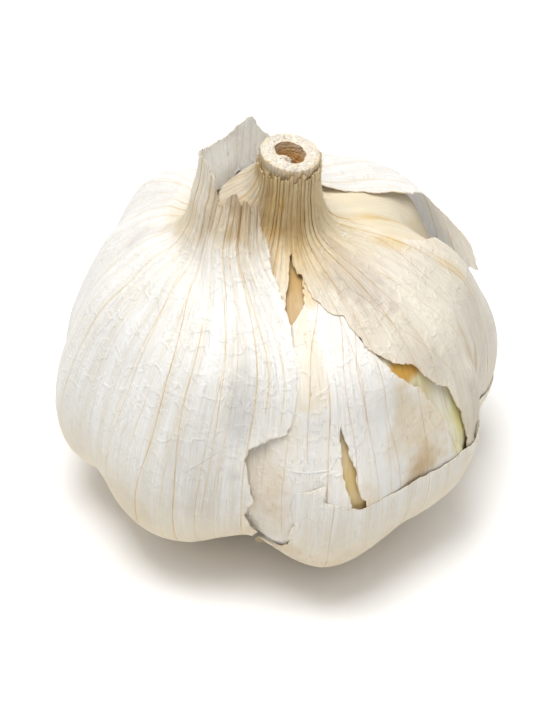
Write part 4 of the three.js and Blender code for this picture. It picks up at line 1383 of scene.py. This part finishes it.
def fray_strands(sizes, colours):
    """Fine fibres that stick out of the cut rims round the stalk."""
    draw = np.random.default_rng(83)
    count = sizes.fray_count
    azimuth = draw.uniform(-180, 180, count)
    layer = draw.integers(0, 3, count)
    starts, headings = np.empty((count, 3)), np.empty((count, 3))
    collar_rim = np.array([corner for corner in OUTER_EDGE if corner[0] > 180 and corner[1] > 0.9])
    for kind, (skin, rim) in enumerate(((MIDDLE, 0.976), (TUCKED, 0.989), (OUTER, None))):
        mine = layer == kind
        where = azimuth[mine] if kind < 2 else np.abs(azimuth[mine]) / 180 * 150 + 190
        station = np.interp(where, *collar_rim.T) if rim is None else rim
        station = station - draw.uniform(0.004, 0.014, mine.sum())
        starts[mine], _ = point_on(skin, where, station, -0.15)
        turn = np.radians(where)
        flare = draw.uniform(0.1, 0.9, mine.sum())
        headings[mine] = np.stack([flare * np.sin(turn), -flare * np.cos(turn), np.ones(mine.sum())], -1)
    # some at the tip of the torn spike at the front
    at_spike = np.arange(count) < 16
    spike = OUTER_EDGE[3]
    where, station = spike[0] + 0.8 + draw.uniform(0, 1.4, 16), spike[1] - draw.uniform(0.004, 0.012, 16)
    starts[at_spike], _ = point_on(OUTER, where, station, outer_relief(where, station, np.zeros(16)) - 0.07)
    headings[at_spike] = (-1.0, -0.55, 0.15)
    headings += draw.normal(0, 0.25, (count, 3))
    spans = draw.uniform(0.5, 1.1, count) * sizes.fray_length / MM
    spans = np.minimum(spans, (54.5 - starts[:, 2]) * 0.9)
    kept = spans > 0.25
    girths = draw.uniform(0.6, 1.4, count)
    return strands(
        "frayed_fibres", starts[kept], headings[kept], spans[kept], girths[kept], 0.045, 0.3, 0.35,
        make_finish("stalk side", colours),
    )


# ---------------------------------------------------------------------------------------------
# Sizes and colours that a user may change
# ---------------------------------------------------------------------------------------------


def length(name, description, default, low, high):
    """A length property, from millimetres."""
    return FloatProperty(
        name=name, description=description, default=default * MM, min=low * MM, max=high * MM, unit="LENGTH", precision=5
    )


def colour(name, description, code):
    return FloatVectorProperty(
        name=name, description=description, subtype="COLOR", size=3, min=0, max=1, default=tint(code)
    )


class GarlicSizes(bpy.types.PropertyGroup):
    skin_thickness: length("Skin thickness", "Thickness of a papery skin", 0.14, 0.05, 0.4)
    root_count: IntProperty(name="Roots", description="How many trimmed roots are under the plate", default=150, min=0, max=500)
    root_length: length("Root length", "Length of the trimmed roots", 1.5, 0.2, 4)
    root_width: length("Root width", "Thickness of a root at the plate", 0.5, 0.1, 1.2)
    fray_count: IntProperty(name="Fibres", description="How many loose fibres are on the cut rims", default=90, min=0, max=600)
    fray_length: length("Fibre length", "Length of the loose fibres", 1.2, 0.2, 4)


class GarlicColours(bpy.types.PropertyGroup):
    # Each shade colour also takes over low down on its skin, where it partly paints shade
    paper: colour("Paper", "Outer skin", "fdfaf4")
    paper_shade: colour("Paper shade", "Duller patches of the outer skin", "ece4d4")
    vein: colour("Vein", "Veins of the outer skin", "e6c070")
    groove: colour("Groove", "Brown in the grooves at the neck and on torn edges", "b0833f")
    neck: colour("Neck", "Outer skin near the neck", "f1e6d0")
    lining: colour("Lining", "Inside of the outer skin", "fff8e6")
    lining_shade: colour("Lining shade", "Duller patches inside the outer skin", "f8eedb")
    middle_paper: colour("Middle paper", "Middle skin", "f1e6d2")
    middle_shade: colour("Middle shade", "Duller patches of the middle skin", "dfd2bc")
    middle_vein: colour("Middle vein", "Veins of the middle skin", "cf9f52")
    middle_neck: colour("Middle neck", "Middle skin near the neck", "f7d898")
    inner_paper: colour("Inner paper", "Inner skin over the front cloves", "fefaf2")
    inner_shade: colour("Inner shade", "Duller patches of the inner skin", "faf2e4")
    inner_vein: colour("Inner vein", "Veins of the inner skin", "d3a672")
    clove: colour("Clove", "Bare clove", "e8d6b8")
    clove_shade: colour("Clove shade", "Duller parts of a bare clove", "e4cfa8")
    clove_blush: colour("Clove blush", "Warm patches of a bare clove", "ecd3ac")
    gap_clove: colour("Gap clove", "Clove that shows in a gap", "f8f0d2")
    stalk: colour("Stalk", "Side of the stalk", "dcc391")
    stalk_line: colour("Stalk line", "Brown between the stalk's fibres", "a98350")
    cut: colour("Cut end", "Cut end of the stalk", "cdc5b8")
    hollow: colour("Hollow", "Wall of the hollow in the stalk", "e4b46a")
    root: colour("Root", "Root plate and roots", "cbb48c")
    soil: colour("Soil", "Traces of soil on the roots", "6d5134")


class GarlicStage(bpy.types.PropertyGroup):
    floor: colour("Floor", "Paper that the bulb stands on", "f0f0f0")
    sky: FloatProperty(name="Sky", description="Strength of the light from overhead", default=1.45, min=0, max=3)
    key: FloatProperty(name="Key light", description="Power of the large soft lamp", default=2.7, min=0, max=100, unit="POWER")


# ---------------------------------------------------------------------------------------------
# Operators
# ---------------------------------------------------------------------------------------------


class GARLIC_OT_cloves(bpy.types.Operator):
    """Make the nine cloves"""

    bl_idname = "garlic.cloves"
    bl_label = "Cloves"
    bl_options = {"REGISTER", "UNDO"}

    def execute(self, context):
        colours = context.scene.garlic_colours
        for number in range(len(CLOVES)):
            finish = "gap clove skin" if number == GAP_CLOVE else "clove skin"
            piece = clove_piece(number, make_finish(finish, colours))
            adopt(piece, "clove", f"clove_{number + 1}")
        thickness = context.scene.garlic_sizes.skin_thickness / MM
        for name, finish, layer, relief, outline in (
            ("clove_5_skin", "bare clove skin", TIGHT, tight_relief, FRONT_CLOVE_EDGE),
            ("clove_6_skin", "gap clove skin", SNUG, snug_relief, GAP_CLOVE_EDGE),
            ("clove_8_skin", "bare clove skin", TIGHT, tight_relief, BARE_CLOVE_EDGE),
        ):
            both = [make_finish(finish, colours)] * 2
            turns = [corner[0] for corner in outline]
            sheet = torn_sheet(outline, columns(min(turns) - 2, max(turns) + 2), ROWS)
            piece = skin_piece(name, layer, sheet, relief, thickness, stains_and_shade(CLOVE_STAINS_AND_SHADE), (), both)
            adopt(piece, "clove")
        return {"FINISHED"}


GAP_CLOVE = 5  # it shows between the inner and the middle skin


class GARLIC_OT_stalk(bpy.types.Operator):
    """Make the stalk with its cut end, hollow and pith"""

    bl_idname = "garlic.stalk"
    bl_label = "Stalk"
    bl_options = {"REGISTER", "UNDO"}

    def execute(self, context):
        colours = context.scene.garlic_colours
        adopt(stalk_piece(colours), "stalk", "stalk_and_root_plate")
        adopt(pith_piece(colours), "stalk")
        return {"FINISHED"}


class GARLIC_OT_roots(bpy.types.Operator):
    """Make the root plate and its trimmed roots"""

    bl_idname = "garlic.roots"
    bl_label = "Roots"
    bl_options = {"REGISTER", "UNDO"}

    def execute(self, context):
        sizes, colours = context.scene.garlic_sizes, context.scene.garlic_colours
        adopt(plate_piece(colours), "stalk")
        adopt(root_strands(sizes, colours), "stalk")
        return {"FINISHED"}


class GARLIC_OT_inner_skin(bpy.types.Operator):
    """Make the inner skin over the two front cloves"""

    bl_idname = "garlic.inner_skin"
    bl_label = "Inner skin"
    bl_options = {"REGISTER", "UNDO"}

    def execute(self, context):
        sizes, colours = context.scene.garlic_sizes, context.scene.garlic_colours
        sheet = torn_sheet(INNER_EDGE, columns(-46, 68), ROWS)
        both = [make_finish("inner skin", colours)] * 2
        piece = skin_piece(
            "inner_paper", INNER, sheet, inner_relief, sizes.skin_thickness / MM, stains_and_shade(INNER_STAINS_AND_SHADE), INNER_MARKS, both
        )
        adopt(piece, "inner_skin", "inner_skin")
        return {"FINISHED"}


class GARLIC_OT_middle_skin(bpy.types.Operator):
    """Make the middle skin, which hugs the stalk and covers the right, and the sheath under it"""

    bl_idname = "garlic.middle_skin"
    bl_label = "Middle skin"
    bl_options = {"REGISTER", "UNDO"}

    def execute(self, context):
        sizes, colours = context.scene.garlic_sizes, context.scene.garlic_colours
        both = [make_finish("middle skin", colours), make_finish("middle skin inside", colours)]
        turns = (-1, 0, 1)
        sheet = torn_sheet(MIDDLE_EDGE, columns(-180, 180), ROWS, turns, closed=True, steps=0.6)
        thickness = sizes.skin_thickness / MM
        piece = skin_piece("middle_paper", MIDDLE, sheet, middle_relief, thickness, stains_and_shade(MIDDLE_STAINS), MIDDLE_MARKS, both)
        adopt(piece, "middle_skin", "middle_skin")
        rows = ROWS[ROWS > 0.8]
        sheet = torn_sheet(SHEATH_EDGE, columns(-180, 180), rows, turns, closed=True, steps=0.5, seed=91)
        piece = skin_piece("sheath_paper", TUCKED, sheet, sheath_relief, thickness, stains_and_shade(()), (), both)
        adopt(piece, "middle_skin")
        return {"FINISHED"}


class GARLIC_OT_outer_skin(bpy.types.Operator):
    """Make the outer skin, with its loose collar and its band round the front"""

    bl_idname = "garlic.outer_skin"
    bl_label = "Outer skin"
    bl_options = {"REGISTER", "UNDO"}

    def execute(self, context):
        sizes, colours = context.scene.garlic_sizes, context.scene.garlic_colours
        sheet = torn_sheet(OUTER_EDGE, columns(-6.5, 378), ROWS, steps=0.12)
        both = [make_finish("outer skin", colours), make_finish("outer skin inside", colours)]
        piece = skin_piece(
            "outer_paper", OUTER, sheet, outer_relief, sizes.skin_thickness / MM, stains_and_shade(OUTER_STAINS), OUTER_MARKS, both
        )
        adopt(piece, "outer_skin", "outer_skin")
        return {"FINISHED"}


class GARLIC_OT_fibres(bpy.types.Operator):
    """Make the loose fibres on the cut rims"""

    bl_idname = "garlic.fibres"
    bl_label = "Fibres"
    bl_options = {"REGISTER", "UNDO"}

    def execute(self, context):
        piece = fray_strands(context.scene.garlic_sizes, context.scene.garlic_colours)
        adopt(piece, "stalk")
        return {"FINISHED"}


def soft_sky(strength):
    """White light from all round, most of it from overhead; the camera sees plain white."""
    world = bpy.data.worlds.new("sky")
    world.use_nodes = True
    nodes, links = world.node_tree.nodes, world.node_tree.links
    light = nodes["Background"]
    light.inputs["Color"].default_value = (1, 1, 1, 1)
    plain = nodes.new("ShaderNodeBackground")
    plain.inputs["Color"].default_value = (1, 1, 1, 1)
    place = nodes.new("ShaderNodeTexCoord")
    parts = nodes.new("ShaderNodeSeparateXYZ")
    steep = nodes.new("ShaderNodeMath")
    steep.operation = "POWER"
    steep.use_clamp = True
    steep.inputs[1].default_value = SKY_STEEPNESS
    rise = nodes.new("ShaderNodeMapRange")
    rise.inputs["To Min"].default_value = strength * SKY_HORIZON
    rise.inputs["To Max"].default_value = strength
    path = nodes.new("ShaderNodeLightPath")
    either = nodes.new("ShaderNodeMixShader")
    links.new(place.outputs["Generated"], parts.inputs[0])
    links.new(parts.outputs["Z"], steep.inputs[0])
    links.new(steep.outputs[0], rise.inputs["Value"])
    links.new(rise.outputs[0], light.inputs["Strength"])
    links.new(path.outputs["Is Camera Ray"], either.inputs[0])
    links.new(light.outputs[0], either.inputs[1])
    links.new(plain.outputs[0], either.inputs[2])
    links.new(either.outputs[0], nodes["World Output"].inputs["Surface"])
    return world


SKY_HORIZON = 0.05  # how bright the sky is at the horizon, as a share of overhead
SKY_STEEPNESS = 1.9  # how soon it darkens from overhead to the horizon
CAMERA_TILT = 42  # degrees above the horizon
CAMERA_AWAY = 0.42
CAMERA_LENS = 157.57
CAMERA_AIM = (-1.97, -0.77, 19.75)


class GARLIC_OT_stage(bpy.types.Operator):
    """Make the floor, the lights and the camera"""

    bl_idname = "garlic.stage"
    bl_label = "Stage"
    bl_options = {"REGISTER", "UNDO"}

    def execute(self, context):
        scene = context.scene
        settings = scene.garlic_stage
        half = 1.5
        mesh = bpy.data.meshes.new("floor")
        mesh.from_pydata([(-half, -half, 0), (half, -half, 0), (half, half, 0), (-half, half, 0)], [], [(0, 1, 2, 3)])
        mesh.materials.append(plain_floor("floor", settings.floor))
        floor = bpy.data.objects.new("floor", mesh)
        scene.collection.objects.link(floor)

        scene.world = soft_sky(settings.sky)
        scene.view_settings.view_transform = "Standard"

        for name, place, size, power in (
            ("key", (-0.055, -0.03, 0.56), 0.32, settings.key),
        ):
            lamp = bpy.data.lights.new(name, "AREA")
            lamp.energy = power
            lamp.size = size
            holder = bpy.data.objects.new(name, lamp)
            holder.location = place
            holder.rotation_euler = (Vector((0, 0, 0.02)) - Vector(place)).to_track_quat("-Z", "Y").to_euler()
            scene.collection.objects.link(holder)

        tilt = math.radians(CAMERA_TILT)
        back = Vector((0, -math.cos(tilt), math.sin(tilt)))
        lens = bpy.data.cameras.new("camera")
        lens.lens = CAMERA_LENS
        lens.sensor_width = 36
        camera = bpy.data.objects.new("camera", lens)
        camera.location = Vector(CAMERA_AIM) * MM + back * CAMERA_AWAY
        camera.rotation_euler = (-back).to_track_quat("-Z", "Y").to_euler()
        scene.collection.objects.link(camera)
        scene.camera = camera
        return {"FINISHED"}


STEPS = (
    GARLIC_OT_stage,
    GARLIC_OT_stalk,
    GARLIC_OT_roots,
    GARLIC_OT_cloves,
    GARLIC_OT_inner_skin,
    GARLIC_OT_middle_skin,
    GARLIC_OT_outer_skin,
    GARLIC_OT_fibres,
)
GROUPS = (("garlic_sizes", GarlicSizes), ("garlic_colours", GarlicColours), ("garlic_stage", GarlicStage))


class GARLIC_PT_panel(bpy.types.Panel):
    bl_idname = "GARLIC_PT_panel"
    bl_label = "Garlic bulb"
    bl_space_type = "VIEW_3D"
    bl_region_type = "UI"
    bl_category = "Garlic"

    def draw(self, context):
        for step in STEPS:
            self.layout.operator(step.bl_idname)
        for name, group in GROUPS:
            box = self.layout.box()
            for key in group.__annotations__:
                box.prop(getattr(context.scene, name), key)


def register():
    for name, group in GROUPS:
        bpy.utils.register_class(group)
        setattr(bpy.types.Scene, name, PointerProperty(type=group))
    for kind in (*STEPS, GARLIC_PT_panel):
        bpy.utils.register_class(kind)


def unregister():
    for kind in (GARLIC_PT_panel, *reversed(STEPS)):
        bpy.utils.unregister_class(kind)
    for name, group in reversed(GROUPS):
        delattr(bpy.types.Scene, name)
        bpy.utils.unregister_class(group)


def main():
    register()
    for step in STEPS:
        area, name = step.bl_idname.split(".")
        getattr(getattr(bpy.ops, area), name)()


if __name__ == "__main__":
    main()
